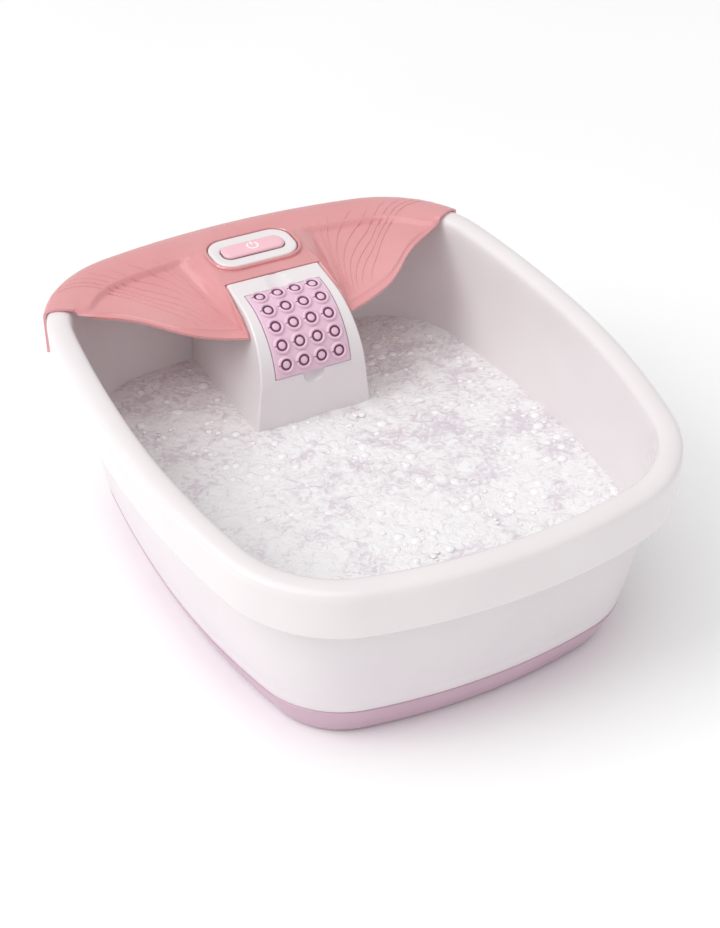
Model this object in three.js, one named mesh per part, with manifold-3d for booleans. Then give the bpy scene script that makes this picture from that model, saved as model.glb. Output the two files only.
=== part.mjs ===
// Foot spa basin: a water tub with a rolled rim, a two-shell body, a translucent splash guard
// over the rear rim, a console with a power button and a lift-out massage pad, and an air
// blower under the console that feeds two bubble strips on the floor.
// Millimetres, +Z up, +X to the user's right, -Y towards the user.
// The origin is under the middle of the object, on the surface that its feet stand on.

import * as THREE from 'three';
import { mergeVertices } from 'three/addons/utils/BufferGeometryUtils.js';
import Module from 'manifold-3d';

const wasm = await Module();
wasm.setup();

// ---------------------------------------------------------------- driving dimensions

// Plan outline: side, corner and end arcs that run smoothly into each other.
const HALF_WIDTH = 175;
const FRONT_REACH = 206.8;
const REAR_REACH = 204.7;
const FRONT_ARCS = { reach: FRONT_REACH, side: 571, end: 421, corner: 84.8 };
const REAR_ARCS = { reach: REAR_REACH, side: 1030, end: 540, corner: 83.7 };
const ARC_STEPS = { side: 3, corner: 6, end: 4 };
const FRONT_GROWTH = 2.2;         // how much further forward the foot of the front wall is drawn
const CORNER_GROWTH = 7.5;        // how much rounder the corners are at the foot of the wall

// Rim, which rises towards the rear.
const RIM_Z = 159.3;
const RIM_RISE = 0.06;            // rise per millimetre of Y
const RIM_BOW = 8.9e-5;           // and how it flattens towards both ends
const APRON_DROP = 32.7;

// Walls.
const BODY_TOP_INSET = 12.5;
const BODY_FOOT_INSET = 30.4;
const BODY_FOOT_Z = 28.3;
const BODY_WALL = 2;
const FLOOR_Z = 33.5;
const FLOOR_UNDER_Z = 31;

// Base.
const BASE_TOP_Z = 28;
const BASE_Z = 1.5;
const BASE_FLOOR_Z = 4;
const BASE_FOOT_INSET = 43.5;
const BASE_WALL = 2.4;

// Console.
const CONSOLE_Y = 112.3;          // centre of the round nose
const CONSOLE_Z = 112.5;
const CONSOLE_R = 48.2;
const CONSOLE_HALF = 44.3;        // half width at CONSOLE_HALF_Z
const CONSOLE_HALF_Z = 83;
const CONSOLE_DRAFT = 0.105;
const CONSOLE_WALL = 2.5;
const CROWN_SLOPE = THREE.MathUtils.degToRad(11);
const NOTCH_Y = 127;              // rear edge of the splash guard's notch
const DECK_Z = 162.9;             // deck height at NOTCH_Y
const DECK_SLOPE = 0.0755;
const DECK_REAR_Y = 200;
const DECK_TILT = Math.atan(DECK_SLOPE);
const EDGE_BEVEL = 4;             // rounding of the console's long edges
const HOLLOW_BACK = 5.4;          // how far the hollow lies behind the nose, clear of the pad's bed

// Splash guard.
const GUARD_T = 1.8;
// Where the guard's inner edge lies, from its end on the right rim to the middle. at is a place
// on the rear quarter's vertices, step is how deep the funnel drops inside the rim strip.
const GUARD_EDGE = [
  { at: 4.42, x: 141.5, y: 137.5, z: 163.8, step: 0 },
  { at: 5, x: 130, y: 131.5, z: 162.9, step: 1 },
  { at: 6, x: 116.5, y: 124.8, z: 161.4, step: 2.5 },
  { at: 7, x: 102.5, y: 115, z: 159.6, step: 3.4 },
  { at: 8, x: 88, y: 102, z: 156.4, step: 3.8 },
  { at: 9, x: 73.5, y: 92.8, z: 152.6, step: 3.8 },
  { at: 10, x: 55, y: 87.6, z: 148.2, step: 3.8 },
  { at: 10.5, x: 46, y: 85.4, z: 146.9, step: 3.4 },
  { at: 10.7, x: 39.9, y: 83.2, z: 146.3, step: 3 },
  { at: 10.9, x: 39.1, y: 98, z: 155.2, step: 2 },
  { at: 11.1, x: 38.4, y: 113, z: 160.6, step: 1 },
  { at: 11.5, x: 37.6, y: 127.4, z: 165, step: 0 },
  { at: 12, x: 24, y: 127.4, z: 165.4, step: 0 },
  { at: 13, x: 0, y: 127.4, z: 165.5, step: 0 },
];
const GUARD_RIM = [
  [-2.2, -31], [-2.2, -16], [-2.2, -3], [-0.5, 0.7], [3.3, 2.5], [9, 3.1], [15, 2.7], [19, 2],
];
const STRIP_END = 29;             // the rim strip's width, from the outline to the funnel's step
const STEP_RUN = 5;

// Massage pad.
const PAD_HALF = 29;
const PAD_IN_R = 45.9;
const PAD_OUT_R = 49.2;
const PAD_FROM = THREE.MathUtils.degToRad(91);
const PAD_TO = THREE.MathUtils.degToRad(171.5);
const PAD_COLUMNS = 4;
const PAD_ROWS = 5;
const PAD_PITCH = 13.6;
const PAD_GAP = 0.4;
const KNOB_FROM = THREE.MathUtils.degToRad(97.6);
const KNOB_STEP = THREE.MathUtils.degToRad(15.8);
const KNOB_H = 1.5;

// Bezel and power button.
const BEZEL_Y = 160.3;
const BEZEL_Z = DECK_Z + (BEZEL_Y - NOTCH_Y) * DECK_SLOPE;
const BEZEL = { w: 64, d: 36, r: 14, top: 4.7 };
const BUTTON = { w: 47.4, d: 15, r: 5.8, low: 3.4, top: 6.2, edge: 0.6 };
const SPRING = { turns: 2.5, r: 3.9, wire: 0.35, low: 0.75, steps: 30 };

// Blower.
const BLOWER_Y = 120;
const SHAFT_R = 1.5;
const BUSH_R = 1.55;
const CAN_R = 19;
const FAN_R = 28;
const FAN_BLADES = 9;
const DRUM_R = 35;
const SPOUT = { x0: 18, x1: 34, y: 44, z0: 86, z1: 105 };

// Air way.
const STRIP_X = 60;
const STRIP = { w: 16, y0: -112, y1: 52, h: 6 };
const NOZZLE_Y = 39;
const HOSE = { x: -27, z: 14, outer: 5, inner: 3.8 };
const BUBBLE_HOLES = { count: 9, pitch: 17.5, r: 1.3 };
const DOMES = { columns: [-24, 24], rows: 5, y0: -98, pitch: 33 };

const FEET = [[-98, -100], [98, -100], [-98, 105], [98, 105]];
const SCREWS = [[-55, -140], [55, -140], [-118, 5], [118, 5], [-62, 148], [62, 148]];
const POSTS = [[-30, -50], [30, -50], [-30, -10], [30, -10]];
const GLAND = [45, 165, 15];
const GLAND_BORE_R = 7.8;
const CLEAR = 0.3;                // gap that neighbouring pieces keep

// ---------------------------------------------------------------- solids

function closed(geometry) {
  const bare = geometry.index ? geometry.toNonIndexed() : geometry.clone();
  bare.deleteAttribute('normal');
  bare.deleteAttribute('uv');
  return mergeVertices(bare, 1e-4);
}

function toSolid(geometry) {
  const mesh = closed(geometry);
  return new wasm.Manifold(new wasm.Mesh({
    numProp: 3,
    vertProperties: Float32Array.from(mesh.attributes.position.array),
    triVerts: Uint32Array.from(mesh.index.array),
  }));
}

function toGeometry(solid) {
  const mesh = solid.getMesh();
  const geometry = new THREE.BufferGeometry();
  geometry.setAttribute('position', new THREE.BufferAttribute(mesh.vertProperties, 3));
  geometry.setIndex(new THREE.BufferAttribute(mesh.triVerts, 1));
  return geometry;
}

function join(first, ...others) {
  return toGeometry(others.reduce((sum, other) => sum.add(toSolid(other)), toSolid(first)));
}

function cut(first, ...others) {
  return toGeometry(others.reduce((rest, other) => rest.subtract(toSolid(other)), toSolid(first)));
}

function common(first, second) {
  return toGeometry(toSolid(first).intersect(toSolid(second)));
}

// A skin through rings of equal length. wrap joins the last ring to the first, as in a hoop;
// without it both end rings are closed by a fan.
function skin(rings, wrap) {
  const around = rings[0].length;
  const points = rings.flat();
  const faces = [];
  const joins = wrap ? rings.length : rings.length - 1;
  for (let i = 0; i < joins; i++) {
    const a = i * around;
    const b = ((i + 1) % rings.length) * around;
    for (let j = 0; j < around; j++) {
      const k = (j + 1) % around;
      faces.push(a + j, b + j, b + k);
      faces.push(a + j, b + k, a + k);
    }
  }
  if (!wrap) {
    const last = (rings.length - 1) * around;
    const first = points.push(middle(rings[0])) - 1;
    const end = points.push(middle(rings[rings.length - 1])) - 1;
    for (let j = 0; j < around; j++) {
      const k = (j + 1) % around;
      faces.push(first, j, k);
      faces.push(end, last + k, last + j);
    }
  }
  return outward(points, faces);
}

function middle(ring) {
  const sum = ring.reduce((total, p) => total.add(p), new THREE.Vector3());
  return sum.divideScalar(ring.length);
}

// Builds the mesh and turns its faces outwards if its volume comes out negative.
function outward(points, faces) {
  let volume = 0;
  for (let i = 0; i < faces.length; i += 3) {
    const [a, b, c] = [points[faces[i]], points[faces[i + 1]], points[faces[i + 2]]];
    volume += a.dot(new THREE.Vector3().crossVectors(b, c));
  }
  if (volume < 0) {
    faces.reverse();
  }
  const geometry = new THREE.BufferGeometry().setFromPoints(points);
  geometry.setIndex(faces);
  return geometry;
}

function box(x0, x1, y0, y1, z0, z1) {
  const geometry = new THREE.BoxGeometry(x1 - x0, y1 - y0, z1 - z0);
  return geometry.translate((x0 + x1) / 2, (y0 + y1) / 2, (z0 + z1) / 2);
}

// A turned piece on a vertical axis. The profile is a list of [radius, height].
function turned(profile, sides, x = 0, y = 0) {
  const points = profile.map(([r, z]) => new THREE.Vector2(r, z));
  const hollow = profile.every(([r]) => r > 0);
  if (hollow) {
    points.push(points[0].clone());
  }
  const geometry = new THREE.LatheGeometry(points, sides).rotateX(Math.PI / 2).translate(x, y, 0);
  const mesh = closed(geometry);
  const corners = mesh.attributes.position;
  const vertices = Array.from({ length: corners.count }, (_, i) =>
    new THREE.Vector3().fromBufferAttribute(corners, i));
  const faces = [];
  const index = mesh.index.array;
  for (let i = 0; i < index.length; i += 3) {
    const [a, b, c] = [index[i], index[i + 1], index[i + 2]];
    if (a !== b && b !== c && c !== a) {
      faces.push(a, b, c);
    }
  }
  return outward(vertices, faces);
}

function peg(radius, z0, z1, sides, x = 0, y = 0) {
  return turned([[0, z0], [radius, z0], [radius, z1], [0, z1]], sides, x, y);
}

function ring(inner, outer, z0, z1, sides, x = 0, y = 0) {
  return turned([[inner, z0], [outer, z0], [outer, z1], [inner, z1]], sides, x, y);
}

function roundedRect(w, d, r) {
  const shape = new THREE.Shape();
  shape.absarc(w / 2 - r, d / 2 - r, r, 0, Math.PI / 2);
  shape.absarc(r - w / 2, d / 2 - r, r, Math.PI / 2, Math.PI);
  shape.absarc(r - w / 2, r - d / 2, r, Math.PI, Math.PI * 1.5);
  shape.absarc(w / 2 - r, r - d / 2, r, Math.PI * 1.5, Math.PI * 2);
  return shape;
}

function prism(shape, z0, z1, curveSegments = 4) {
  const options = { depth: z1 - z0, bevelEnabled: false, curveSegments };
  return new THREE.ExtrudeGeometry(shape, options).translate(0, 0, z0);
}

// A profile in the Y-Z plane, extruded along X to both sides of the middle.
function acrossX(shape, half, options = {}) {
  const geometry = new THREE.ExtrudeGeometry(shape, {
    depth: half * 2, bevelEnabled: false, curveSegments: 10, ...options,
  });
  return geometry.rotateZ(Math.PI / 2).rotateY(Math.PI / 2).translate(-half, 0, 0);
}

// ---------------------------------------------------------------- plan outline and levels

function tangentCentre(side, sideGap, end, endGap) {
  const apart = new THREE.Vector2().subVectors(end, side);
  const length = apart.length();
  const along = (sideGap ** 2 - endGap ** 2 + length ** 2) / (2 * length);
  const across = Math.sqrt(sideGap ** 2 - along ** 2);
  const unit = apart.normalize();
  const options = [1, -1].map((sign) => new THREE.Vector2(
    side.x + along * unit.x - sign * across * unit.y,
    side.y + along * unit.y + sign * across * unit.x,
  ));
  return options[0].x + options[0].y > options[1].x + options[1].y ? options[0] : options[1];
}

function arcPoints(centre, radius, from, to, steps) {
  return Array.from({ length: steps }, (_, i) => {
    const angle = from + (to - from) * i / steps;
    return new THREE.Vector2(
      centre.x + radius * Math.cos(angle),
      centre.y + radius * Math.sin(angle),
    );
  });
}

// A quarter of the outline, from the side (x = half width) to the end (x = 0), with Y positive.
function quarter(arcs, inset) {
  const side = new THREE.Vector2(HALF_WIDTH - arcs.side, 0);
  const end = new THREE.Vector2(0, arcs.reach - arcs.end);
  const corner = tangentCentre(side, arcs.side - arcs.corner, end, arcs.end - arcs.corner);
  const sideTurn = Math.atan2(corner.y - side.y, corner.x - side.x);
  const endTurn = Math.atan2(corner.y - end.y, corner.x - end.x);
  return [
    ...arcPoints(side, arcs.side - inset, 0, sideTurn, ARC_STEPS.side),
    ...arcPoints(corner, arcs.corner - inset, sideTurn, endTurn, ARC_STEPS.corner),
    ...arcPoints(end, arcs.end - inset, endTurn, Math.PI / 2, ARC_STEPS.end),
    new THREE.Vector2(0, arcs.reach - inset),
  ];
}

// The whole outline, counter-clockwise from (half width, 0). level is 0 at the rim and 1 at
// the foot of the wall.
function outline(inset, level) {
  const growCorner = CORNER_GROWTH * level;
  const rear = quarter({ ...REAR_ARCS, corner: REAR_ARCS.corner + growCorner }, inset);
  const front = quarter({
    ...FRONT_ARCS,
    reach: FRONT_REACH + FRONT_GROWTH * level,
    corner: FRONT_ARCS.corner + growCorner,
  }, inset);
  const right = [...front.slice(1).reverse().map((p) => new THREE.Vector2(p.x, -p.y)), ...rear];
  const left = right.slice(1, -1).reverse().map((p) => new THREE.Vector2(-p.x, p.y));
  return [...right, ...left];
}

function rimZ(y) {
  return RIM_Z + RIM_RISE * y - RIM_BOW * y * y;
}

function rimRing(inset, dz) {
  return outline(inset, 0).map((p) => new THREE.Vector3(p.x, p.y, rimZ(p.y) + dz));
}

// A ring on the wall: t is 0 at the apron's lower edge and 1 at the foot of the body.
function wallRing(extra, t) {
  const inset = THREE.MathUtils.lerp(BODY_TOP_INSET, BODY_FOOT_INSET, t) + extra;
  return outline(inset, t).map((p) => new THREE.Vector3(
    p.x, p.y, THREE.MathUtils.lerp(rimZ(p.y) - APRON_DROP, BODY_FOOT_Z, t),
  ));
}

function floorRing(inset, z) {
  return outline(inset, 1).map((p) => new THREE.Vector3(p.x, p.y, z));
}

// ---------------------------------------------------------------- tub

function rimRings() {
  return [
    rimRing(18, -10), rimRing(17.4, -4), rimRing(16.8, -1.8), rimRing(14.5, -0.1),
    rimRing(9, 0.8), rimRing(4, 0.3), rimRing(1.2, -1), rimRing(0, -3),
    rimRing(1, -APRON_DROP), rimRing(3.3, -APRON_DROP), rimRing(2.5, -5.5), rimRing(5, -2.3),
    rimRing(9, -1.6), rimRing(13.5, -2.6), rimRing(15.1, -6), rimRing(15.8, -12),
  ];
}

function innerWall() {
  return [
    floorRing(62, FLOOR_Z), floorRing(46, FLOOR_Z + 0.1), floorRing(39.5, FLOOR_Z + 1.8),
    floorRing(35.5, FLOOR_Z + 5.5), wallRing(5, 0.8), wallRing(4.7, 0.5), wallRing(5.2, 0.2),
    wallRing(6.3, 0),
  ];
}

function outerWall() {
  return [
    wallRing(4, 0), wallRing(2.9, 0.2), wallRing(2.4, 0.5), wallRing(2.5, 0.8),
    floorRing(33.2, FLOOR_UNDER_Z + 6.9), floorRing(37.8, FLOOR_UNDER_Z + 2.4),
    floorRing(45.5, FLOOR_UNDER_Z + 0.2), floorRing(62, FLOOR_UNDER_Z),
  ];
}

// The tub's outer shape filled solid, which trims the console where it meets the rear wall.
function envelope() {
  return skin([rimRing(62, -1), rimRing(9, -1), rimRing(14.2, -2.6), ...outerWall()], false);
}

function consoleHalf(z) {
  return CONSOLE_HALF - CONSOLE_DRAFT * (z - CONSOLE_HALF_Z);
}

// Nose and crown of the console, seen from the side; back is measured inwards from the skin.
function consoleProfile(back, low, rear) {
  const r = CONSOLE_R - back;
  const crown = Math.PI / 2 + CROWN_SLOPE;
  const crownY = CONSOLE_Y + r * Math.cos(crown);
  const crownZ = CONSOLE_Z + r * Math.sin(crown);
  const shape = new THREE.Shape();
  shape.moveTo(CONSOLE_Y - r, low);
  shape.lineTo(CONSOLE_Y - r, CONSOLE_Z);
  shape.absarc(CONSOLE_Y, CONSOLE_Z, r, Math.PI, crown, true);
  shape.lineTo(rear, crownZ + (rear - crownY) * Math.tan(CROWN_SLOPE));
  shape.lineTo(rear, low);
  return shape;
}

function taperToConsole(geometry, wall) {
  const place = geometry.attributes.position;
  const half = CONSOLE_HALF - wall;
  for (let i = 0; i < place.count; i++) {
    const x = place.getX(i) * (consoleHalf(place.getZ(i)) - wall) / half;
    place.setX(i, x);
  }
  return geometry;
}

function consoleBlock() {
  const profile = consoleProfile(EDGE_BEVEL, FLOOR_UNDER_Z + 0.6, DECK_REAR_Y);
  const block = acrossX(profile, CONSOLE_HALF - EDGE_BEVEL, {
    bevelEnabled: true, bevelSize: EDGE_BEVEL, bevelThickness: EDGE_BEVEL, bevelSegments: 3,
  });
  const lid = wedge(CONSOLE_HALF + 5, DECK_REAR_Y + 10, 0);
  return cut(taperToConsole(block, 0), lid);
}

// Everything above the deck behind the notch; drop lowers its underside.
function wedge(half, rear, drop) {
  const shape = new THREE.Shape();
  shape.moveTo(NOTCH_Y, DECK_Z - drop);
  shape.lineTo(rear, DECK_Z - drop + (rear - NOTCH_Y) * DECK_SLOPE);
  shape.lineTo(rear, DECK_Z + 30);
  shape.lineTo(NOTCH_Y, DECK_Z + 30);
  return acrossX(shape, half);
}

function consoleHollow() {
  const rearTop = 183;
  const rearLow = 158;
  const front = CONSOLE_Y - CONSOLE_R + HOLLOW_BACK;
  const shape = new THREE.Shape();
  shape.moveTo(front, FLOOR_UNDER_Z - 5);
  shape.lineTo(front, CONSOLE_Z);
  shape.absarc(CONSOLE_Y, CONSOLE_Z, CONSOLE_R - HOLLOW_BACK, Math.PI, Math.PI / 2, true);
  shape.lineTo(rearTop, DECK_Z - CONSOLE_WALL + (rearTop - NOTCH_Y) * DECK_SLOPE - 1);
  shape.lineTo(rearTop - 3, 130);
  shape.lineTo(rearLow + 14, 80);
  shape.lineTo(rearLow, 40);
  shape.lineTo(rearLow, FLOOR_UNDER_Z - 5);
  return taperToConsole(acrossX(shape, CONSOLE_HALF - CONSOLE_WALL), CONSOLE_WALL);
}

function padSector(inner, outer, from, to, half) {
  const shape = new THREE.Shape();
  shape.absarc(CONSOLE_Y, CONSOLE_Z, outer, from, to, false);
  shape.absarc(CONSOLE_Y, CONSOLE_Z, inner, to, from, true);
  return acrossX(shape, half, { curveSegments: 12 });
}

function floorDomes() {
  const domes = [];
  for (const side of [-1, 1]) {
    for (const column of DOMES.columns) {
      for (let row = 0; row < DOMES.rows; row++) {
        const x = side * STRIP_X + column;
        const y = DOMES.y0 + row * DOMES.pitch;
        domes.push(turned([[0, FLOOR_Z - 1], [7, FLOOR_Z - 1], [4.5, FLOOR_Z + 3],
          [0, FLOOR_Z + 3.6]], 8, x, y));
      }
    }
  }
  return domes;
}

function basinTub() {
  const bowl = skin([...innerWall(), ...rimRings(), ...outerWall()], false);
  const hump = common(consoleBlock(), envelope());
  const bosses = SCREWS.map(([x, y]) => peg(5, 6.6, FLOOR_UNDER_Z + 0.5, 12, x, y));
  const solid = join(bowl, hump, ...floorDomes(), ...bosses);
  const recess = padSector(PAD_IN_R - PAD_GAP, PAD_OUT_R + 5, PAD_FROM - 0.01, PAD_TO + 0.01,
    PAD_HALF + PAD_GAP);
  const thumb = turned([[0, -3], [5, -3], [7, 4], [0, 4]], 12).rotateX(Math.PI / 2)
    .translate(0, CONSOLE_Y - CONSOLE_R - 1.6, CONSOLE_Z + 2.5);
  const well = onDeck(prism(roundedRect(24, 12, 4), -12, 6));
  const nozzles = [-STRIP_X, STRIP_X].map((x) => peg(4.7, FLOOR_UNDER_Z - 2, FLOOR_Z + 5, 12, x,
    NOZZLE_Y));
  const pilots = SCREWS.map(([x, y]) => peg(1.9, 0, 24, 10, x, y));
  return cut(solid, consoleHollow(), recess, thumb, well, ...nozzles, ...pilots);
}

// ---------------------------------------------------------------- shells

function outerBody() {
  return skin([
    wallRing(BODY_WALL, 1), wallRing(BODY_WALL, 0.8), wallRing(BODY_WALL, 0.5),
    wallRing(BODY_WALL, 0.2), wallRing(BODY_WALL, 0), rimRing(13.2, 6 - APRON_DROP),
    rimRing(11.2, 6 - APRON_DROP), wallRing(0, 0), wallRing(0, 0.5), wallRing(-0.6, 0.9),
    wallRing(0, 1),
  ], true);
}

function basePan() {
  const dish = skin([
    floorRing(60, BASE_FLOOR_Z), floorRing(46.5, BASE_FLOOR_Z), floorRing(44.3, BASE_FLOOR_Z + 2),
    floorRing(BODY_FOOT_INSET + BASE_WALL, BASE_TOP_Z), floorRing(BODY_FOOT_INSET, BASE_TOP_Z),
    floorRing(BASE_FOOT_INSET - 1, BASE_Z + 1.6), floorRing(BASE_FOOT_INSET + 1, BASE_Z),
    floorRing(60, BASE_Z),
  ], false);
  const posts = POSTS.map(([x, y]) =>
    peg(3, BASE_FLOOR_Z - 1, 8.7, 8, x, y));
  const recesses = FEET.map(([x, y]) => peg(9.4, 0, 2.9, 16, x, y));
  const holes = SCREWS.map(([x, y]) => turned([[0, 0], [5.2, 0], [5.2, 2.8], [2.1, 2.8], [2.1, 9],
    [0, 9]], 12, x, y));
  const inlet = peg(GLAND_BORE_R, -20, 20, 16).rotateX(Math.PI / 2).translate(...GLAND);
  return cut(join(dish, ...posts), ...recesses, ...holes, inlet);
}

function rubberFoot(x, y) {
  return turned([[0, 0], [8, 0], [9, 0.8], [9, 2.6], [0, 2.6]], 16, x, y);
}

function baseScrew(x, y) {
  return turned([[0, 1.6], [4.2, 1.6], [4.6, 2.5], [1.6, 2.5], [1.6, 18], [0, 20]], 10, x, y);
}

function cordGland() {
  const sleeve = turned([[3.2, -12], [6, -12], [7.4, -4], [7.4, 6], [3.2, 6]], 16);
  return sleeve.rotateX(Math.PI / 2).translate(...GLAND);
}

// ---------------------------------------------------------------- splash guard

function onQuarter(inset, at) {
  const points = quarter(REAR_ARCS, inset);
  const i = Math.min(Math.floor(at), points.length - 2);
  return points[i].clone().lerp(points[i + 1], at - i);
}

function guardSection({ at, x, y, z, step }) {
  const foot = onQuarter(0, at);
  const section = GUARD_RIM.map(([inset, dz]) => {
    const p = onQuarter(inset, at);
    return new THREE.Vector3(p.x, p.y, rimZ(foot.y) + dz);
  });
  const start = section[section.length - 1];
  const edge = new THREE.Vector3(x, y, z);
  const span = start.distanceTo(edge);
  const first = Math.min((STRIP_END - GUARD_RIM[GUARD_RIM.length - 1][0]) / span, 0.35);
  const second = Math.min(first + STEP_RUN / span, 0.6);
  const along = (t, drop) => start.clone().lerp(edge, t).add(new THREE.Vector3(0, 0, -drop));
  section.push(along(first, step * 0.1), along(second, step));
  section.push(along(second + (1 - second) * 0.35, step * 0.75));
  section.push(along(second + (1 - second) * 0.7, step * 0.45), edge);
  return section;
}

// A thin shell: the given grid of points is its outer face and its inner face lies behind it.
function sheet(grid, thickness) {
  const columns = grid[0].length;
  const under = grid.map((row, i) => row.map((p, j) => {
    const alongRow = row[Math.min(j + 1, columns - 1)].clone().sub(row[Math.max(j - 1, 0)]);
    const next = grid[Math.min(i + 1, grid.length - 1)][j];
    const across = next.clone().sub(grid[Math.max(i - 1, 0)][j]);
    const normal = across.cross(alongRow).normalize();
    return p.clone().addScaledVector(normal, -thickness);
  }));
  const rows = grid.length;
  const layer = rows * columns;
  const at = (i, j, side) => side * layer + i * columns + j;
  const faces = [];
  const quad = (a, b, c, d) => faces.push(a, b, c, a, c, d);
  for (let i = 0; i < rows - 1; i++) {
    for (let j = 0; j < columns - 1; j++) {
      quad(at(i, j, 0), at(i, j + 1, 0), at(i + 1, j + 1, 0), at(i + 1, j, 0));
      quad(at(i, j, 1), at(i + 1, j, 1), at(i + 1, j + 1, 1), at(i, j + 1, 1));
    }
    const last = columns - 1;
    quad(at(i, 0, 0), at(i + 1, 0, 0), at(i + 1, 0, 1), at(i, 0, 1));
    quad(at(i, last, 0), at(i, last, 1), at(i + 1, last, 1), at(i + 1, last, 0));
  }
  for (let j = 0; j < columns - 1; j++) {
    const last = rows - 1;
    quad(at(0, j, 0), at(0, j, 1), at(0, j + 1, 1), at(0, j + 1, 0));
    quad(at(last, j, 0), at(last, j + 1, 0), at(last, j + 1, 1), at(last, j, 1));
  }
  return outward([...grid.flat(), ...under.flat()], faces);
}

function splashGuard() {
  const right = GUARD_EDGE.map(guardSection);
  const left = right.slice(0, -1).reverse().map((section) =>
    section.map((p) => new THREE.Vector3(-p.x, p.y, p.z)));
  const window = onDeck(prism(roundedRect(BEZEL.w + 1.6, BEZEL.d + 1.6, BEZEL.r + 0.8), -8, 14));
  return cut(sheet([...right, ...left], GUARD_T), window);
}

// ---------------------------------------------------------------- console fittings

// Moves a piece drawn flat on the deck (Z along the deck's normal) to its place.
function onDeck(geometry) {
  return geometry.rotateX(DECK_TILT).translate(0, BEZEL_Y, BEZEL_Z);
}

function switchBezel() {
  const shape = roundedRect(BEZEL.w, BEZEL.d, BEZEL.r);
  shape.holes.push(roundedRect(BUTTON.w + 1, BUTTON.d + 1, BUTTON.r + 0.5));
  return prism(shape, CLEAR, BEZEL.top, 6);
}

function powerButton() {
  const cap = new THREE.ExtrudeGeometry(roundedRect(BUTTON.w, BUTTON.d, BUTTON.r), {
    depth: BUTTON.top - BUTTON.low - 2 * BUTTON.edge, curveSegments: 5, bevelEnabled: true,
    bevelThickness: BUTTON.edge, bevelSize: BUTTON.edge, bevelOffset: -BUTTON.edge,
    bevelSegments: 1,
  }).translate(0, 0, BUTTON.low + BUTTON.edge);
  const stem = peg(2.6, -1, BUTTON.low + 1, 12);
  return join(cap, stem);
}

function returnSpring() {
  const high = BUTTON.low - SPRING.wire - CLEAR;
  const points = Array.from({ length: SPRING.steps + 1 }, (_, i) => {
    const angle = SPRING.turns * 2 * Math.PI * i / SPRING.steps;
    return new THREE.Vector3(SPRING.r * Math.cos(angle), SPRING.r * Math.sin(angle),
      THREE.MathUtils.lerp(SPRING.low, high, i / SPRING.steps));
  });
  const section = new THREE.Shape().absarc(0, 0, SPRING.wire, 0, Math.PI * 2);
  return new THREE.ExtrudeGeometry(section, {
    steps: SPRING.steps, curveSegments: 3, bevelEnabled: false,
    extrudePath: new THREE.CatmullRomCurve3(points),
  });
}

function switchPlunger() {
  return peg(2.1, -12, -1.4, 12);
}

function switchBracket() {
  const plate = box(-15, 15, -9, 9, -8.2, -6.6);
  const arms = [box(-17, -14, -9, 9, -8.2, -5.4), box(14, 17, -9, 9, -8.2, -5.4)];
  return cut(join(plate, ...arms), peg(2.6, -9, -4, 12));
}

function switchBody() {
  const block = box(-10, 10, -6.5, 6.5, -21, -8.5);
  const lugs = [box(-6, -4.4, -2, 2, -25, -20), box(4.4, 6, -2, 2, -25, -20)];
  return cut(join(block, ...lugs), peg(2.5, -17, -6, 12));
}

function massagePad() {
  const slab = padSector(PAD_IN_R, PAD_OUT_R, PAD_FROM, PAD_TO, PAD_HALF);
  const knobs = [];
  for (let row = 0; row < PAD_ROWS; row++) {
    for (let column = 0; column < PAD_COLUMNS; column++) {
      const angle = KNOB_FROM + KNOB_STEP * row;
      const knob = turned([[0, -KNOB_H], [5.7, -KNOB_H], [5, KNOB_H], [0, KNOB_H]], 10);
      knob.rotateX(angle - Math.PI / 2);
      knob.translate((column - (PAD_COLUMNS - 1) / 2) * PAD_PITCH,
        CONSOLE_Y + PAD_OUT_R * Math.cos(angle), CONSOLE_Z + PAD_OUT_R * Math.sin(angle));
      knobs.push(knob);
    }
  }
  return join(slab, ...knobs);
}

// ---------------------------------------------------------------- blower and motor

function blowerBracket() {
  const plate = box(-21, 21, BLOWER_Y - 32, BLOWER_Y + 30, 34, 37);
  const legs = [-17.5, 17.5].flatMap((x) => [-28, 26].map((dy) =>
    box(x - 3, x + 3, BLOWER_Y + dy - 3, BLOWER_Y + dy + 3, BASE_FLOOR_Z + CLEAR, 35)));
  return cut(join(plate, ...legs), peg(7, 30, 40, 16, 0, BLOWER_Y));
}

function motorEndCap() {
  return turned([[5.3, 34.5], [6.6, 34.5], [6.6, 37.3], [18.9, 37.3], [18.9, 40], [5.3, 40]], 24,
    0, BLOWER_Y);
}

function motorCan() {
  return turned([[CAN_R - 1.6, 40.3], [CAN_R, 40.3], [CAN_R, 82], [5.3, 82], [5.3, 80],
    [CAN_R - 1.6, 80]], 24, 0, BLOWER_Y);
}

function bush(z0, z1) {
  return ring(BUSH_R, 5, z0, z1, 24, 0, BLOWER_Y);
}

function stator() {
  return ring(11, 17.1, 47, 73, 24, 0, BLOWER_Y);
}

function rotorCore() {
  return ring(SHAFT_R + CLEAR, 10.4, 48, 72, 20, 0, BLOWER_Y);
}

function motorShaft() {
  return peg(SHAFT_R, 35.5, 103, 24, 0, BLOWER_Y);
}

function impeller() {
  const plate = ring(SHAFT_R + CLEAR, FAN_R, 88.5, 90, 24);
  const hub = ring(SHAFT_R + CLEAR, 6, 88.5, 101, 16);
  const blades = Array.from({ length: FAN_BLADES }, (_, i) => {
    const blade = box(11, FAN_R - 1, -0.7, 0.7, 89, 102);
    return blade.rotateZ(0.5).translate(0, -5, 0).rotateZ(i * 2 * Math.PI / FAN_BLADES);
  });
  return join(plate, hub, ...blades).translate(0, BLOWER_Y, 0);
}

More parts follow.
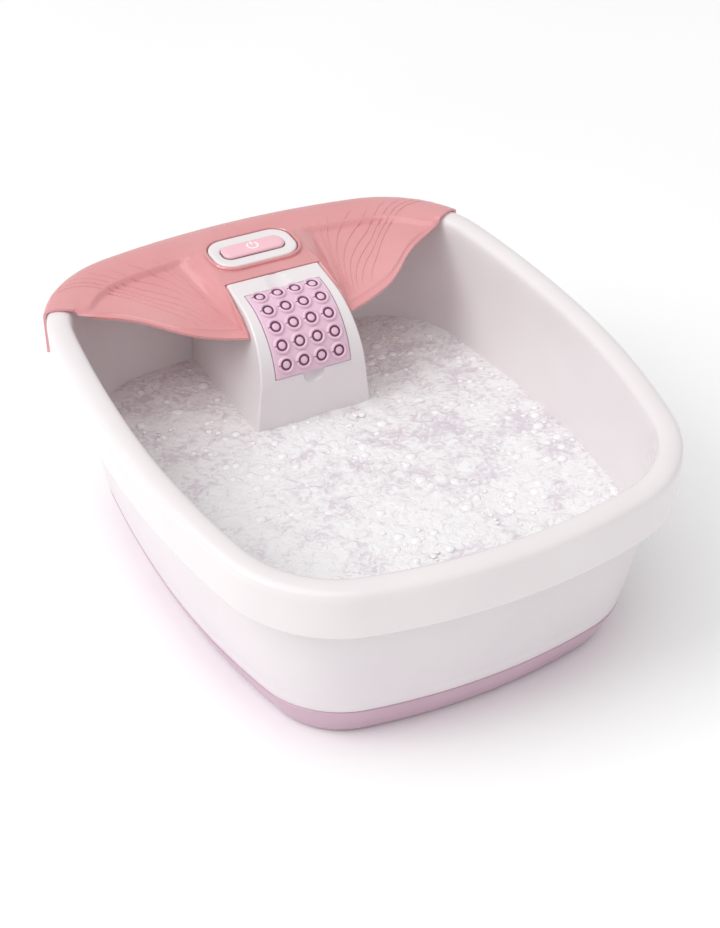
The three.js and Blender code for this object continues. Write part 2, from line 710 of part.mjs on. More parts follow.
function blowerHousing() {
  const drum = peg(DRUM_R, 84.3, 107, 32);
  const spout = box(SPOUT.x0, SPOUT.x1, 0, SPOUT.y, SPOUT.z0, SPOUT.z1);
  const room = peg(DRUM_R - 2.2, 86.3, 108, 32);
  const throat = box(SPOUT.x0 + 2, SPOUT.x1 - 2, 8, SPOUT.y + 2, SPOUT.z0 + 2, SPOUT.z1 - 2);
  const eye = peg(6, 80, 90, 16);
  return cut(join(drum, spout), room, throat, eye).translate(0, BLOWER_Y, 0);
}

function blowerCover() {
  return ring(15, DRUM_R, 107.3, 109.3, 32, 0, BLOWER_Y);
}

// ---------------------------------------------------------------- air way

function tube(points, outer, inner, steps) {
  const section = new THREE.Shape().absarc(0, 0, outer, 0, Math.PI * 2);
  section.holes.push(new THREE.Path().absarc(0, 0, inner, 0, Math.PI * 2, true));
  return new THREE.ExtrudeGeometry(section, {
    steps, curveSegments: 4, bevelEnabled: false,
    extrudePath: new THREE.CatmullRomCurve3(points.map((p) => new THREE.Vector3(...p))),
  });
}

// The hose climbs above the water line before it drops to the floor, so water can't run back.
function airHose() {
  return tube([
    [26, 164.8, 95.5], [26, 166.5, 96], [26, 168.7, 101], [26, 170, 112], [25, 172.5, 132],
    [16, 174.5, 147], [0, 174.5, 151], [-16, 174.5, 147], [HOSE.x + 1, 172.5, 132],
    [HOSE.x, 168, 108], [HOSE.x, 162, 78], [HOSE.x, 154, 52], [HOSE.x, 149, 34],
    [HOSE.x, 145, 23], [HOSE.x, 136, 15.5], [HOSE.x, 122, HOSE.z], [HOSE.x, 82.5, HOSE.z],
  ], HOSE.outer, HOSE.inner, 34);
}

function checkValve() {
  const profile = [[2.5, 62.2], [5, 62.2], [6.6, 66], [6.6, 77], [5, 82.1], [2.5, 82.1]];
  return turned(profile, 16).rotateX(-Math.PI / 2).translate(HOSE.x, 0, HOSE.z);
}

function airManifold() {
  const arm = box(-66, 66, NOZZLE_Y - 6, NOZZLE_Y + 6, 8, 20);
  const spur = box(-33, -21, NOZZLE_Y, 61.8, 8, 20);
  const sides = [-STRIP_X, STRIP_X];
  const nozzles = sides.map((x) => peg(4.2, 18, FLOOR_Z + 2, 12, x, NOZZLE_Y));
  const way = box(-64, 64, NOZZLE_Y - 4, NOZZLE_Y + 4, 10, 18);
  const spurWay = box(-31, -23, NOZZLE_Y, 65, 10, 18);
  const bores = sides.map((x) => peg(2.8, 12, FLOOR_Z + 5, 12, x, NOZZLE_Y));
  return cut(join(arm, spur, ...nozzles), way, spurWay, ...bores);
}

function floorSeal(x) {
  return ring(4.5, 8, FLOOR_UNDER_Z - 2.8, FLOOR_UNDER_Z - CLEAR, 14, x, NOZZLE_Y);
}

function bubbleStrip(x) {
  const length = STRIP.y1 - STRIP.y0;
  const low = FLOOR_Z + CLEAR;
  const bar = prism(roundedRect(STRIP.w, length, STRIP.w / 2 - 0.1), low, low + STRIP.h, 5);
  const channel = prism(roundedRect(STRIP.w - 5, length - 5, STRIP.w / 2 - 2.6), low - 1,
    low + STRIP.h - 2, 4);
  const { count, pitch, r } = BUBBLE_HOLES;
  const holes = Array.from({ length: count }, (_, i) =>
    peg(r, low, low + STRIP.h + 1, 6, 0, (i - (count - 1) / 2) * pitch));
  return cut(bar, channel, ...holes).translate(x, (STRIP.y0 + STRIP.y1) / 2, 0);
}

function controlBoard() {
  const board = box(-36, 36, -56, -4, 9, 10.6);
  const parts = [box(-30, -8, -48, -28, 10, 24), box(4, 14, -50, -20, 10, 20),
    box(18, 30, -44, -34, 10, 17), box(-28, -14, -20, -9, 10, 16)];
  return join(board, ...parts);
}

// ---------------------------------------------------------------- assembly

const group = new THREE.Group();
const deck = new THREE.Group();
deck.position.set(0, BEZEL_Y, BEZEL_Z);
deck.rotation.x = DECK_TILT;
group.add(deck);

function add(name, geometry, color, roughness, metalness = 0, parent = group) {
  const material = new THREE.MeshStandardMaterial({ color, roughness, metalness });
  const mesh = new THREE.Mesh(geometry, material);
  mesh.name = name;
  parent.add(mesh);
}

const WHITE = 0xf3efee;
const SALMON = 0xe28a8a;
const MAUVE = 0xbfa0b8;
const LILAC = 0xd8bed6;
const STEEL = 0xb8b8ba;
const GREY = 0x8c8c90;
const BLACK = 0x2a2a2c;
const BRASS = 0xb59048;

add('basin_tub', basinTub(), WHITE, 0.25);
add('outer_body', outerBody(), WHITE, 0.3);
add('base_pan', basePan(), MAUVE, 0.4);
add('splash_guard', splashGuard(), SALMON, 0.15);
add('massage_pad', massagePad(), LILAC, 0.5);
add('switch_bezel', switchBezel(), WHITE, 0.25, 0, deck);
add('power_button', powerButton(), 0xf5ccd4, 0.3, 0, deck);
add('button_return_spring', returnSpring(), STEEL, 0.3, 1, deck);
add('switch_bracket', switchBracket(), GREY, 0.5, 0, deck);
add('switch_body', switchBody(), BLACK, 0.5, 0, deck);
add('switch_plunger', switchPlunger(), 0xe8e4da, 0.4, 0, deck);
add('bubble_strip_left', bubbleStrip(-STRIP_X), LILAC, 0.4);
add('bubble_strip_right', bubbleStrip(STRIP_X), LILAC, 0.4);
add('floor_seal_left', floorSeal(-STRIP_X), BLACK, 0.8);
add('floor_seal_right', floorSeal(STRIP_X), BLACK, 0.8);
add('air_manifold', airManifold(), GREY, 0.5);
add('check_valve', checkValve(), 0xdedad2, 0.4);
add('air_hose', airHose(), 0xd9d9d4, 0.5);
add('blower_bracket', blowerBracket(), GREY, 0.5);
add('blower_housing', blowerHousing(), GREY, 0.5);
add('blower_cover', blowerCover(), GREY, 0.5);
add('impeller', impeller(), 0xe6e2d8, 0.4);
add('motor_shaft', motorShaft(), STEEL, 0.2, 1);
add('rotor_core', rotorCore(), STEEL, 0.4, 1);
add('stator', stator(), BRASS, 0.5, 1);
add('motor_can', motorCan(), STEEL, 0.3, 1);
add('motor_end_cap', motorEndCap(), STEEL, 0.3, 1);
add('upper_bush', bush(79.4, 83.8), BRASS, 0.3, 1);
add('lower_bush', bush(35.8, 40.4), BRASS, 0.3, 1);
add('control_board', controlBoard(), 0x2f6b4a, 0.6);
add('cord_gland', cordGland(), BLACK, 0.7);
FEET.forEach(([x, y], i) => add(`rubber_foot_${i + 1}`, rubberFoot(x, y), BLACK, 0.9));
SCREWS.forEach(([x, y], i) => add(`base_screw_${i + 1}`, baseScrew(x, y), STEEL, 0.3, 1));

export default group;
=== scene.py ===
# %% [markdown]
# # A foot spa basin, piece by piece
# The finished CAD model of the basin comes in first and stays where it is. Each cell then makes
# one visible piece more finely than the CAD needs it, in millimetres, and hands it over in metres.

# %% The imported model
import math
import random

import bmesh
import bpy
from mathutils import Matrix, Vector, noise


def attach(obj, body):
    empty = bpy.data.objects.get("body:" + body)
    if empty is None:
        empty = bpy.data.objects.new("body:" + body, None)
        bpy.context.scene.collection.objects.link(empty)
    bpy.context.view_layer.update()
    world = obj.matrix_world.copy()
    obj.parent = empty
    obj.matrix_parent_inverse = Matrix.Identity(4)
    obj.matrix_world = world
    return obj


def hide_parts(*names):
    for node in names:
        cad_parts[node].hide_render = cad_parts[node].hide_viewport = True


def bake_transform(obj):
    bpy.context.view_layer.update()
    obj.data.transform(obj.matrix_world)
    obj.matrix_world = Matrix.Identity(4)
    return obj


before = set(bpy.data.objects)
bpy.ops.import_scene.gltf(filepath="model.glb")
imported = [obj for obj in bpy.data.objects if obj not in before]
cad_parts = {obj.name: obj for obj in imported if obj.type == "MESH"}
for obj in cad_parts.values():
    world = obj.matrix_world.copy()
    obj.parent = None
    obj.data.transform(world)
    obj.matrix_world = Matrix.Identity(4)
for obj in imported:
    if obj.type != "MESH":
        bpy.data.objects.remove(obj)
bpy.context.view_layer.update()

MM = 0.001

# %% [markdown]
# ## The camera, the floor and the light
# A product like this is shown on a pale sweep under large soft lamps. The camera stands high and
# to the left, with a lens a little longer than normal, so the tub keeps its proportions.

# %% Camera
AIM = Vector((2.29, 0.385, 78.18)) * MM
AZIMUTH, ELEVATION = math.radians(-28.088), math.radians(35.384)
away = Vector((math.sin(AZIMUTH) * math.cos(ELEVATION),
               -math.cos(AZIMUTH) * math.cos(ELEVATION), math.sin(ELEVATION)))
camera_data = bpy.data.cameras.new("studio_camera")
camera_data.sensor_fit = "VERTICAL"
camera_data.sensor_height = 36
camera_data.lens = 68.43
camera = bpy.data.objects.new("studio_camera", camera_data)
camera.location = AIM + 1.205 * away
camera.rotation_euler = (-away).to_track_quat("-Z", "Y").to_euler()
bpy.context.scene.collection.objects.link(camera)
bpy.context.scene.camera = camera
print("camera is", round(camera.location.length, 3), "m from the middle of the floor")

# %% Colours and nodes


def linear(hex_value):
    """An sRGB hex value as the linear colour that a shader wants."""
    parts = [int(hex_value[i:i + 2], 16) / 255 for i in (1, 3, 5)]
    return tuple(p / 12.92 if p <= 0.04045 else ((p + 0.055) / 1.055) ** 2.4
                 for p in parts) + (1.0,)


def add_node(tree, kind, settings=None, values=None, links=None):
    """Adds a node, sets it up and joins its inputs to other nodes' outputs."""
    node = tree.nodes.new(kind)
    for name, value in (settings or {}).items():
        setattr(node, name, value)
    for name, value in (values or {}).items():
        node.inputs[name].default_value = value
    for name, source in (links or {}).items():
        tree.links.new(source, node.inputs[name])
    return node


def per_mm(size):
    """The scale that gives a pattern features of this many millimetres."""
    return 1 / (size * MM)


print("salmon in linear light:", [round(c, 3) for c in linear("#E27C80")])

# %% [markdown]
# ## Moulded plastic
# Most of the basin is injection moulded. Up close such a surface is never one colour: the melt
# leaves a very faint cloudiness, a few centimetres across, and the steel of the mould leaves a
# fine texture. Both come from noise in object coordinates, so they keep their size on any piece.

# %% A recipe for moulded plastic


def moulded(name, light, dark, roughness=0.3, texture_mm=0.8, relief=0.03, cloud_mm=45,
            **shader_values):
    """A moulded plastic between two close colours. Other values go straight to the shader."""
    material = bpy.data.materials.new(name)
    material.use_nodes = True
    tree = material.node_tree
    tree.nodes.clear()
    place = add_node(tree, "ShaderNodeTexCoord")
    cloud = add_node(tree, "ShaderNodeTexNoise",
                     values={"Scale": per_mm(cloud_mm), "Detail": 2.0, "Roughness": 0.4},
                     links={"Vector": place.outputs["Object"]})
    tint = add_node(tree, "ShaderNodeValToRGB", links={"Fac": cloud.outputs["Fac"]})
    tint.color_ramp.elements[0].position = 0.2
    tint.color_ramp.elements[0].color = linear(dark)
    tint.color_ramp.elements[1].position = 0.8
    tint.color_ramp.elements[1].color = linear(light)
    texture = add_node(tree, "ShaderNodeTexNoise",
                       values={"Scale": per_mm(texture_mm), "Detail": 2.0},
                       links={"Vector": place.outputs["Object"]})
    polish = add_node(tree, "ShaderNodeMapRange",
                      values={"To Min": roughness * 0.85, "To Max": roughness * 1.15},
                      links={"Value": cloud.outputs["Fac"]})
    relief_node = add_node(tree, "ShaderNodeBump", values={"Strength": relief, "Distance": 0.0002},
                           links={"Height": texture.outputs["Fac"]})
    shader = add_node(tree, "ShaderNodeBsdfPrincipled", values=shader_values,
                      links={"Base Color": tint.outputs["Color"],
                             "Roughness": polish.outputs["Result"],
                             "Normal": relief_node.outputs["Normal"]})
    add_node(tree, "ShaderNodeOutputMaterial", links={"Surface": shader.outputs["BSDF"]})
    return material


WHITE_ABS = moulded("white_abs_gloss_moulded", "#ECE6E7", "#E8E1E3", roughness=0.21,
                    **{"Coat Weight": 0.25, "Coat Roughness": 0.08, "IOR": 1.53})
# The body is satin, rougher than the tub. At 0.26 faint outlined patches showed on it, perhaps
# because the denoiser splits gloss from matt near there; 0.34 is set against them.
BODY_ABS = moulded("white_abs_body_moulded", "#E8E1E4", "#E3DBDF", roughness=0.34,
                   **{"Coat Weight": 0.15, "Coat Roughness": 0.12, "IOR": 1.53})
MAUVE_ABS = moulded("mauve_abs_satin_moulded", "#CFAFBF", "#C5A4B5", roughness=0.34)
SALMON_CLEAR = moulded("salmon_styrene_translucent_moulded", "#FFB8BA", "#F8AAAC", roughness=0.08,
                       relief=0.012, **{"Transmission Weight": 0.32, "IOR": 1.55,
                                           "Coat Weight": 0.4, "Coat Roughness": 0.04})
LILAC_TPE = moulded("lilac_elastomer_moulded", "#EBCADB", "#E4C1D4", roughness=0.42,
                    texture_mm=0.5, relief=0.06)
# Dark plum, made darker still to paint the shade in the nodes' grooves; the small gate ticks on
# the nodes take it too.
PLUM_AND_PAINTED_SHADE_TPE = moulded("plum_elastomer_and_painted_shade_moulded", "#80496D", "#703C5E", roughness=0.42)
PINK_ABS = moulded("pale_pink_abs_moulded", "#F6C6CF", "#F0BCC7", roughness=0.24,
                   **{"Coat Weight": 0.2, "Coat Roughness": 0.1})
PRINT_WHITE = moulded("white_pad_print", "#FFF8F8", "#F8EEEF", roughness=0.4)
STRIP_LILAC = moulded("lilac_abs_strip_moulded", "#D9C0D6", "#CFB4CC", roughness=0.34)
GREY_ABS = moulded("grey_abs_inner_moulded", "#9A9AA0", "#86868C", roughness=0.5, relief=0.08)
IVORY_POM = moulded("ivory_acetal_moulded", "#E9E4D8", "#DED8CA", roughness=0.36)
BLACK_NYLON = moulded("black_nylon_moulded", "#2E2E31", "#232326", roughness=0.46, relief=0.08)
RUBBER = moulded("black_rubber_moulded", "#2B2A2B", "#1F1E1F", roughness=0.78, texture_mm=0.5,
                 relief=0.2)
HOSE_PVC = moulded("clear_pvc_hose_extruded", "#E6E6E0", "#DADAD2", roughness=0.22,
                   **{"Transmission Weight": 0.5, "IOR": 1.53})
BOARD_GREEN = moulded("green_epoxy_board", "#2F6E4C", "#255C3F", roughness=0.4, cloud_mm=6)
print(len([m for m in bpy.data.materials if "moulded" in m.name]), "moulded finishes")

# %% [markdown]
# ## Metals
# The motor and the screws are hidden, but each gets its own metal: turned or drawn steel shows
# fine rings, which are a stretched noise here.

# %% A recipe for worked metal


def worked_metal(name, light, dark, roughness, grain_mm=0.35, stretch=(1.0, 1.0, 12.0)):
    """A metal with the fine grain that drawing, turning or winding leaves."""
    material = bpy.data.materials.new(name)
    material.use_nodes = True
    tree = material.node_tree
    tree.nodes.clear()
    place = add_node(tree, "ShaderNodeTexCoord")
    aimed = add_node(tree, "ShaderNodeMapping", values={"Scale": stretch},
                     links={"Vector": place.outputs["Object"]})
    grain = add_node(tree, "ShaderNodeTexNoise",
                     values={"Scale": per_mm(grain_mm * 8), "Detail": 4.0},
                     links={"Vector": aimed.outputs["Vector"]})
    tint = add_node(tree, "ShaderNodeValToRGB", links={"Fac": grain.outputs["Fac"]})
    tint.color_ramp.elements[0].color = linear(dark)
    tint.color_ramp.elements[1].color = linear(light)
    polish = add_node(tree, "ShaderNodeMapRange",
                      values={"To Min": roughness * 0.7, "To Max": roughness * 1.3},
                      links={"Value": grain.outputs["Fac"]})
    shader = add_node(tree, "ShaderNodeBsdfPrincipled", values={"Metallic": 1.0},
                      links={"Base Color": tint.outputs["Color"],
                             "Roughness": polish.outputs["Result"]})
    add_node(tree, "ShaderNodeOutputMaterial", links={"Surface": shader.outputs["BSDF"]})
    return material


STEEL = worked_metal("bright_steel_drawn", "#CFCFD2", "#A9A9AE", 0.3)
LAMINATION = worked_metal("lamination_steel_stamped", "#9C9CA2", "#6F6F76", 0.45)
COPPER = worked_metal("enamelled_copper_wound", "#C8794A", "#8F4A26", 0.35)
BRASS = worked_metal("sintered_brass_pressed", "#BFA05A", "#94783A", 0.45)
print("metals:", STEEL.name, LAMINATION.name, COPPER.name, BRASS.name)

# %% [markdown]
# ## Outlines that run round the basin
# Seen from above, the basin is made of side, corner and end arcs that run smoothly into each
# other. Every wall follows that outline at some inset, so one function gives a loop of points
# and each wall is extruded loop by loop through it.

# %% The plan outline
HALF_WIDTH = 175.0
FRONT = {"reach": 206.8, "side": 571.0, "end": 421.0, "corner": 84.8}
REAR = {"reach": 204.7, "side": 1030.0, "end": 540.0, "corner": 83.7}
FINE = 3                         # loop points for each step of the CAD outline
SPANS = {"side": 3 * FINE, "corner": 6 * FINE, "end": 4 * FINE}


def tangent_centre(side, side_gap, end, end_gap):
    """Where a corner arc's centre lies so that it touches both neighbours smoothly."""
    apart = end - side
    along = (side_gap ** 2 - end_gap ** 2 + apart.length ** 2) / (2 * apart.length)
    across = math.sqrt(side_gap ** 2 - along ** 2)
    unit = apart.normalized()
    centres = [side + along * unit + sign * across * Vector((-unit.y, unit.x)) for sign in (1, -1)]
    return max(centres, key=lambda c: c.x + c.y)


def arc(centre, radius, start, stop, steps):
    return [centre + radius * Vector((math.cos(start + (stop - start) * i / steps),
                                      math.sin(start + (stop - start) * i / steps)))
            for i in range(steps)]


def quarter(arcs, inset):
    """A quarter of the outline, from the side to the end, with Y positive."""
    side = Vector((HALF_WIDTH - arcs["side"], 0))
    end = Vector((0, arcs["reach"] - arcs["end"]))
    corner = tangent_centre(side, arcs["side"] - arcs["corner"], end, arcs["end"] - arcs["corner"])
    side_turn = math.atan2(corner.y - side.y, corner.x - side.x)
    end_turn = math.atan2(corner.y - end.y, corner.x - end.x)
    return (arc(side, arcs["side"] - inset, 0, side_turn, SPANS["side"])
            + arc(corner, arcs["corner"] - inset, side_turn, end_turn, SPANS["corner"])
            + arc(end, arcs["end"] - inset, end_turn, math.pi / 2, SPANS["end"])
            + [Vector((0, arcs["reach"] - inset))])


def outline(inset, level=0.0):
    """The whole outline; level is 0 at the rim and 1 at the foot of the wall."""
    rear = quarter({**REAR, "corner": REAR["corner"] + 7.5 * level}, inset)
    front = quarter({**FRONT, "reach": FRONT["reach"] + 2.2 * level,
                     "corner": FRONT["corner"] + 7.5 * level}, inset)
    right = [Vector((p.x, -p.y)) for p in reversed(front[1:])] + rear
    left = [Vector((-p.x, p.y)) for p in reversed(right[1:-1])]
    return right + left


print("an outline has", len(outline(0)), "points")

# %% Loops at the rim, on the wall and on the floor
APRON_DROP = 32.7
BODY_FOOT_Z = 28.3
FLOOR_Z = 33.5
WALL_IN, WALL_RUN = 12.5, 17.9    # inset under the apron, and how far the wall leans in below


def rim_z(y):
    return 159.3 + 0.06 * y - 8.9e-5 * y * y


def rim_loop(inset, rise):
    return [Vector((p.x, p.y, rim_z(p.y) + rise)) for p in outline(inset)]


def wall_loop(extra, t):
    """A loop on the wall: t is 0 under the apron and 1 at the foot of the body."""
    return [Vector((p.x, p.y, (1 - t) * (rim_z(p.y) - APRON_DROP) + t * BODY_FOOT_Z))
            for p in outline(WALL_IN + WALL_RUN * t + extra, t)]


def flat_loop(inset, z, scale=1.0):
    return [Vector((p.x * scale, p.y * scale, z)) for p in outline(inset, 1)]


print("rim height, front to rear:", round(rim_z(-200), 1), "to", round(rim_z(200), 1), "mm")

# %% Extruding through loops


def new_mesh():
    bm = bmesh.new()
    bm.verts.layers.int.new("station")
    return bm


def first_loop(bm, points):
    """A circle of edges whose points are then moved onto the first loop."""
    verts = bmesh.ops.create_circle(bm, segments=len(points), radius=1.0)["verts"]
    station = bm.verts.layers.int["station"]
    verts.sort(key=lambda v: math.atan2(v.co.y, v.co.x) % math.tau)
    for i, v in enumerate(verts):
        v[station] = i
        v.co = points[i]
    return list({e for v in verts for e in v.link_edges})


def first_line(bm, points):
    """An open line of edges, drawn by extruding one vertex from point to point."""
    station = bm.verts.layers.int["station"]
    tip = bmesh.ops.create_vert(bm, co=points[0])["vert"][0]
    edges = []
    for i, point in enumerate(points[1:], 1):
        geom = bmesh.ops.extrude_vert_indiv(bm, verts=[tip])
        tip = geom["verts"][0]
        tip.co = point
        tip[station] = i
        edges += geom["edges"]
    return edges


def through(bm, edges, loops):
    """Extrudes the edges through one loop after the other and returns the last edges."""
    station = bm.verts.layers.int["station"]
    for loop in loops:
        old = {v for e in edges for v in e.verts}
        grown = bmesh.ops.extrude_edge_only(bm, edges=edges)["geom"]
        edges = [g for g in grown if isinstance(g, bmesh.types.BMEdge)
                 and not old.intersection(g.verts)]
        for v in {v for e in edges for v in e.verts}:
            v.co = loop[v[station]]
    return edges


def shell(loops, cap_start=True, cap_end=True):
    """A closed skin through loops. Without caps the last loop joins the first."""
    bm = new_mesh()
    start = first_loop(bm, loops[0])
    end = through(bm, start, loops[1:])
    if cap_start:
        bmesh.ops.edgeloop_fill(bm, edges=start)
    if cap_end:
        bmesh.ops.edgeloop_fill(bm, edges=end)
    if not (cap_start or cap_end):
        bmesh.ops.bridge_loops(bm, edges=start + end)
    return bm


def absorb(bm, other):
    """Adds another mesh to this one."""
    part = bpy.data.meshes.new("part")
    other.to_mesh(part)
    other.free()
    bm.from_mesh(part)
    bpy.data.meshes.remove(part)
    return bm


# %% Cutting one shape with another


def carve(bm, *tools, operation="DIFFERENCE"):
    """The mesh after each tool shape is cut out of it or added to it."""
    def stand_in(shape):
        bmesh.ops.recalc_face_normals(shape, faces=shape.faces)
        mesh = bpy.data.meshes.new("carving")
        shape.to_mesh(mesh)
        shape.free()
        thing = bpy.data.objects.new("carving", mesh)
        bpy.context.scene.collection.objects.link(thing)
        return thing
    blank = stand_in(bm)
    cutters = [stand_in(tool) for tool in tools]
    for cutter in cutters:
        step = blank.modifiers.new("cut", "BOOLEAN")
        step.operation, step.solver, step.object = operation, "EXACT", cutter
    graph = bpy.context.evaluated_depsgraph_get()
    result = bmesh.new()
    result.from_object(blank, graph)
    for thing in [blank, *cutters]:
        mesh = thing.data
        bpy.data.objects.remove(thing)
        bpy.data.meshes.remove(mesh)
    return result


# %% Handing a piece over


def hand_over(name, bm, materials, stands_for, body="root", sharp=38, smooth=0, bevel=0.0):
    """Turns a mesh in millimetres into a finished object in metres that rides on a body."""
    bmesh.ops.recalc_face_normals(bm, faces=bm.faces)
    bmesh.ops.scale(bm, vec=(MM, MM, MM), verts=bm.verts)
    for face in bm.faces:
        face.smooth = True
    for edge in bm.edges:
        edge.smooth = edge.calc_face_angle(0) < math.radians(sharp)
    mesh = bpy.data.meshes.new(name)
    bm.to_mesh(mesh)
    bm.free()
    for material in materials:
        mesh.materials.append(material)
    piece = bpy.data.objects.new(name, mesh)
    bpy.context.scene.collection.objects.link(piece)
    if bevel:
        edge_break = piece.modifiers.new("broken edges", "BEVEL")
        edge_break.width, edge_break.segments = bevel * MM, 2
        edge_break.limit_method, edge_break.angle_limit = "ANGLE", math.radians(sharp)
    if smooth:
        rounding = piece.modifiers.new("smooth", "SUBSURF")
        rounding.levels = rounding.render_levels = smooth
    if body:
        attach(piece, body)
    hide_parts(*stands_for)
    print(f"{name}: {len(mesh.polygons)} faces")
    return piece


# %% [markdown]
# ## The basin with its rolled rim
# The tub is one white moulding: floor, walls that lean outwards, a rolled rim and the apron that
# hangs from it. It is drawn as loops from the middle of the floor up the wall, over the rim,
# down the apron and back underneath, and then rounded once by a subdivision. Loops that lie
# close together keep the apron's lower edge crisp.

# %% Tub wall and rim
tub = shell([
    flat_loop(62, FLOOR_Z, 0.2), flat_loop(62, FLOOR_Z, 0.6), flat_loop(62, FLOOR_Z, 0.95),
    flat_loop(50, FLOOR_Z), flat_loop(44, FLOOR_Z + 0.4), flat_loop(39.5, FLOOR_Z + 1.8),
    flat_loop(36.6, FLOOR_Z + 4.2), flat_loop(35, FLOOR_Z + 8), wall_loop(5, 0.8),
    wall_loop(4.7, 0.5), wall_loop(5.2, 0.2), wall_loop(6.3, 0), rim_loop(18.2, -14),
    rim_loop(17.8, -7), rim_loop(17.2, -3.2), rim_loop(15.9, -0.9), rim_loop(13, 0.35),
    rim_loop(9, 0.9), rim_loop(5, 0.65), rim_loop(2.2, -0.3), rim_loop(0.6, -2), rim_loop(0, -4.4),
    rim_loop(0.1, -8), rim_loop(0.9, -30), rim_loop(1.0, -32.2), rim_loop(1.4, -32.7),
    rim_loop(2.9, -32.7), rim_loop(3.3, -32.2), rim_loop(3, -28), rim_loop(2.5, -6),
    rim_loop(5, -2.6), rim_loop(9, -1.7), rim_loop(13.5, -2.8), rim_loop(15.2, -6),
    rim_loop(15.9, -12), wall_loop(4, 0), wall_loop(2.9, 0.2), wall_loop(2.4, 0.5),
    wall_loop(2.5, 0.8), flat_loop(33.2, 37.9), flat_loop(37.8, 33.4), flat_loop(45.5, 31.2),
    flat_loop(62, 31), flat_loop(62, 31, 0.5),
])
hand_over("basin_bowl", tub, [WHITE_ABS], ["basin_tub"], smooth=1, sharp=60)

# %% [markdown]
# ## Floor domes
# Two rows of low domes on each side of a bubble strip rub the soles. Each is a short profile
# turned once round its axis, and the last step of the turn is merged into the first.

# %% Turned shapes


def turned(points, x=0.0, y=0.0, steps=24):
    """A profile of (radius, height) turned round a vertical axis."""
    bm = new_mesh()
    edges = first_line(bm, [Vector((r, 0, z)) for r, z in points])
    verts = list({v for e in edges for v in e.verts})
    bmesh.ops.spin(bm, geom=verts + edges, cent=(0, 0, 0), axis=(0, 0, 1), angle=math.tau,
                   steps=steps, use_merge=True, use_duplicate=False)
    bmesh.ops.remove_doubles(bm, verts=bm.verts, dist=0.002)
    bmesh.ops.translate(bm, vec=(x, y, 0), verts=bm.verts)
    return bm


domes = new_mesh()
for side in (-1, 1):
    for column in (-24, 24):
        for row in range(5):
            profile = [(0, 3.6), (1.6, 3.5), (3.2, 3.05), (4.6, 2.2), (5.7, 1.0), (6.6, 0.2),
                       (7.2, -0.5), (0, -0.5)]
            absorb(domes, turned([(r, FLOOR_Z + z) for r, z in profile],
                                 side * 60 + column, -98 + row * 33))
hand_over("floor_domes", domes, [WHITE_ABS], ["basin_tub"])

# %% [markdown]
# ## The console
# The hump that carries the pad and the switch is part of the same white moulding. Its side view
# is drawn first, as a line that runs up the nose, spins round it and follows the deck. The face
# inside that line is extruded across, drawn in towards the top as a mould needs, and its long
# edges are bevelled. The pad's bed and the finger notches are cut out last.

# %% Console block
NOSE = Vector((0, 112.3, 112.5))
NOSE_R = 48.2
NOTCH_Y = 127.0
DECK_Z = 162.9
DECK_SLOPE = 0.0755
CROWN = math.radians(11)


def console_half(z):
    return 44.3 - 0.105 * (z - 83)


def nose_point(radius, angle, x=0.0):
    return Vector((x, NOSE.y + radius * math.cos(angle), NOSE.z + radius * math.sin(angle)))


def console_block():
    turn_steps = 28
    nose = [nose_point(NOSE_R, math.pi - (math.pi / 2 - CROWN) * i / turn_steps)
            for i in range(turn_steps + 1)]
    crest = nose[-1]
    slope_end = Vector((0, NOTCH_Y, crest.z + (NOTCH_Y - crest.y) * math.tan(CROWN)))
    side = ([Vector((0, NOSE.y - NOSE_R, 32))] + nose
            + [slope_end, Vector((0, NOTCH_Y, DECK_Z)),
               Vector((0, 186, DECK_Z + 59 * DECK_SLOPE)), Vector((0, 185, 135)),
               Vector((0, 168, 32))])
    bm = new_mesh()
    edges = first_line(bm, side)
    ends = [v for v in bm.verts if len(v.link_edges) == 1]
    bmesh.ops.contextual_create(bm, geom=ends)
    face = bmesh.ops.contextual_create(bm, geom=list(bm.edges))["faces"]
    grown = bmesh.ops.extrude_face_region(bm, geom=face)["geom"]
    far = {g for g in grown if isinstance(g, bmesh.types.BMVert)}
    for v in bm.verts:
        v.co.x = console_half(v.co.z) * (1 if v in far else -1)
    bmesh.ops.recalc_face_normals(bm, faces=bm.faces)
    long_edges = [e for e in bm.edges
                  if (e.verts[0].co.x > 0) == (e.verts[1].co.x > 0)
                  and min(e.verts[0].co.y, e.verts[1].co.y) < NOTCH_Y - 0.1
                  and max(e.verts[0].co.y, e.verts[1].co.y) < NOTCH_Y + 0.1
                  and abs(e.verts[0].co.x) > 20]
    bmesh.ops.bevel(bm, geom=long_edges, offset=5.2, offset_type="OFFSET", segments=5,
                    profile=0.5, affect="EDGES", material=-1, clamp_overlap=True)
    return bm


def sector(inner, outer, start, stop, half, steps=24):
    """A slab bent round the nose: a rectangle spun from one angle to the other."""
    bm = new_mesh()
    corners = [nose_point(inner, start, -half), nose_point(inner, start, half),
               nose_point(outer, start, half), nose_point(outer, start, -half)]
    for corner in corners:
        bmesh.ops.create_vert(bm, co=corner)
    face = bmesh.ops.contextual_create(bm, geom=list(bm.verts))["faces"]
    bmesh.ops.spin(bm, geom=face, cent=NOSE, axis=(1, 0, 0), angle=stop - start, steps=steps,
                   use_duplicate=False)
    bmesh.ops.remove_doubles(bm, verts=bm.verts, dist=0.001)
    return bm


def ball(radius, centre, squash=(1, 1, 1)):
    bm = new_mesh()
    bmesh.ops.create_uvsphere(bm, u_segments=40, v_segments=20, radius=radius)
    bmesh.ops.scale(bm, vec=squash, verts=bm.verts)
    bmesh.ops.translate(bm, vec=centre, verts=bm.verts)
    return bm


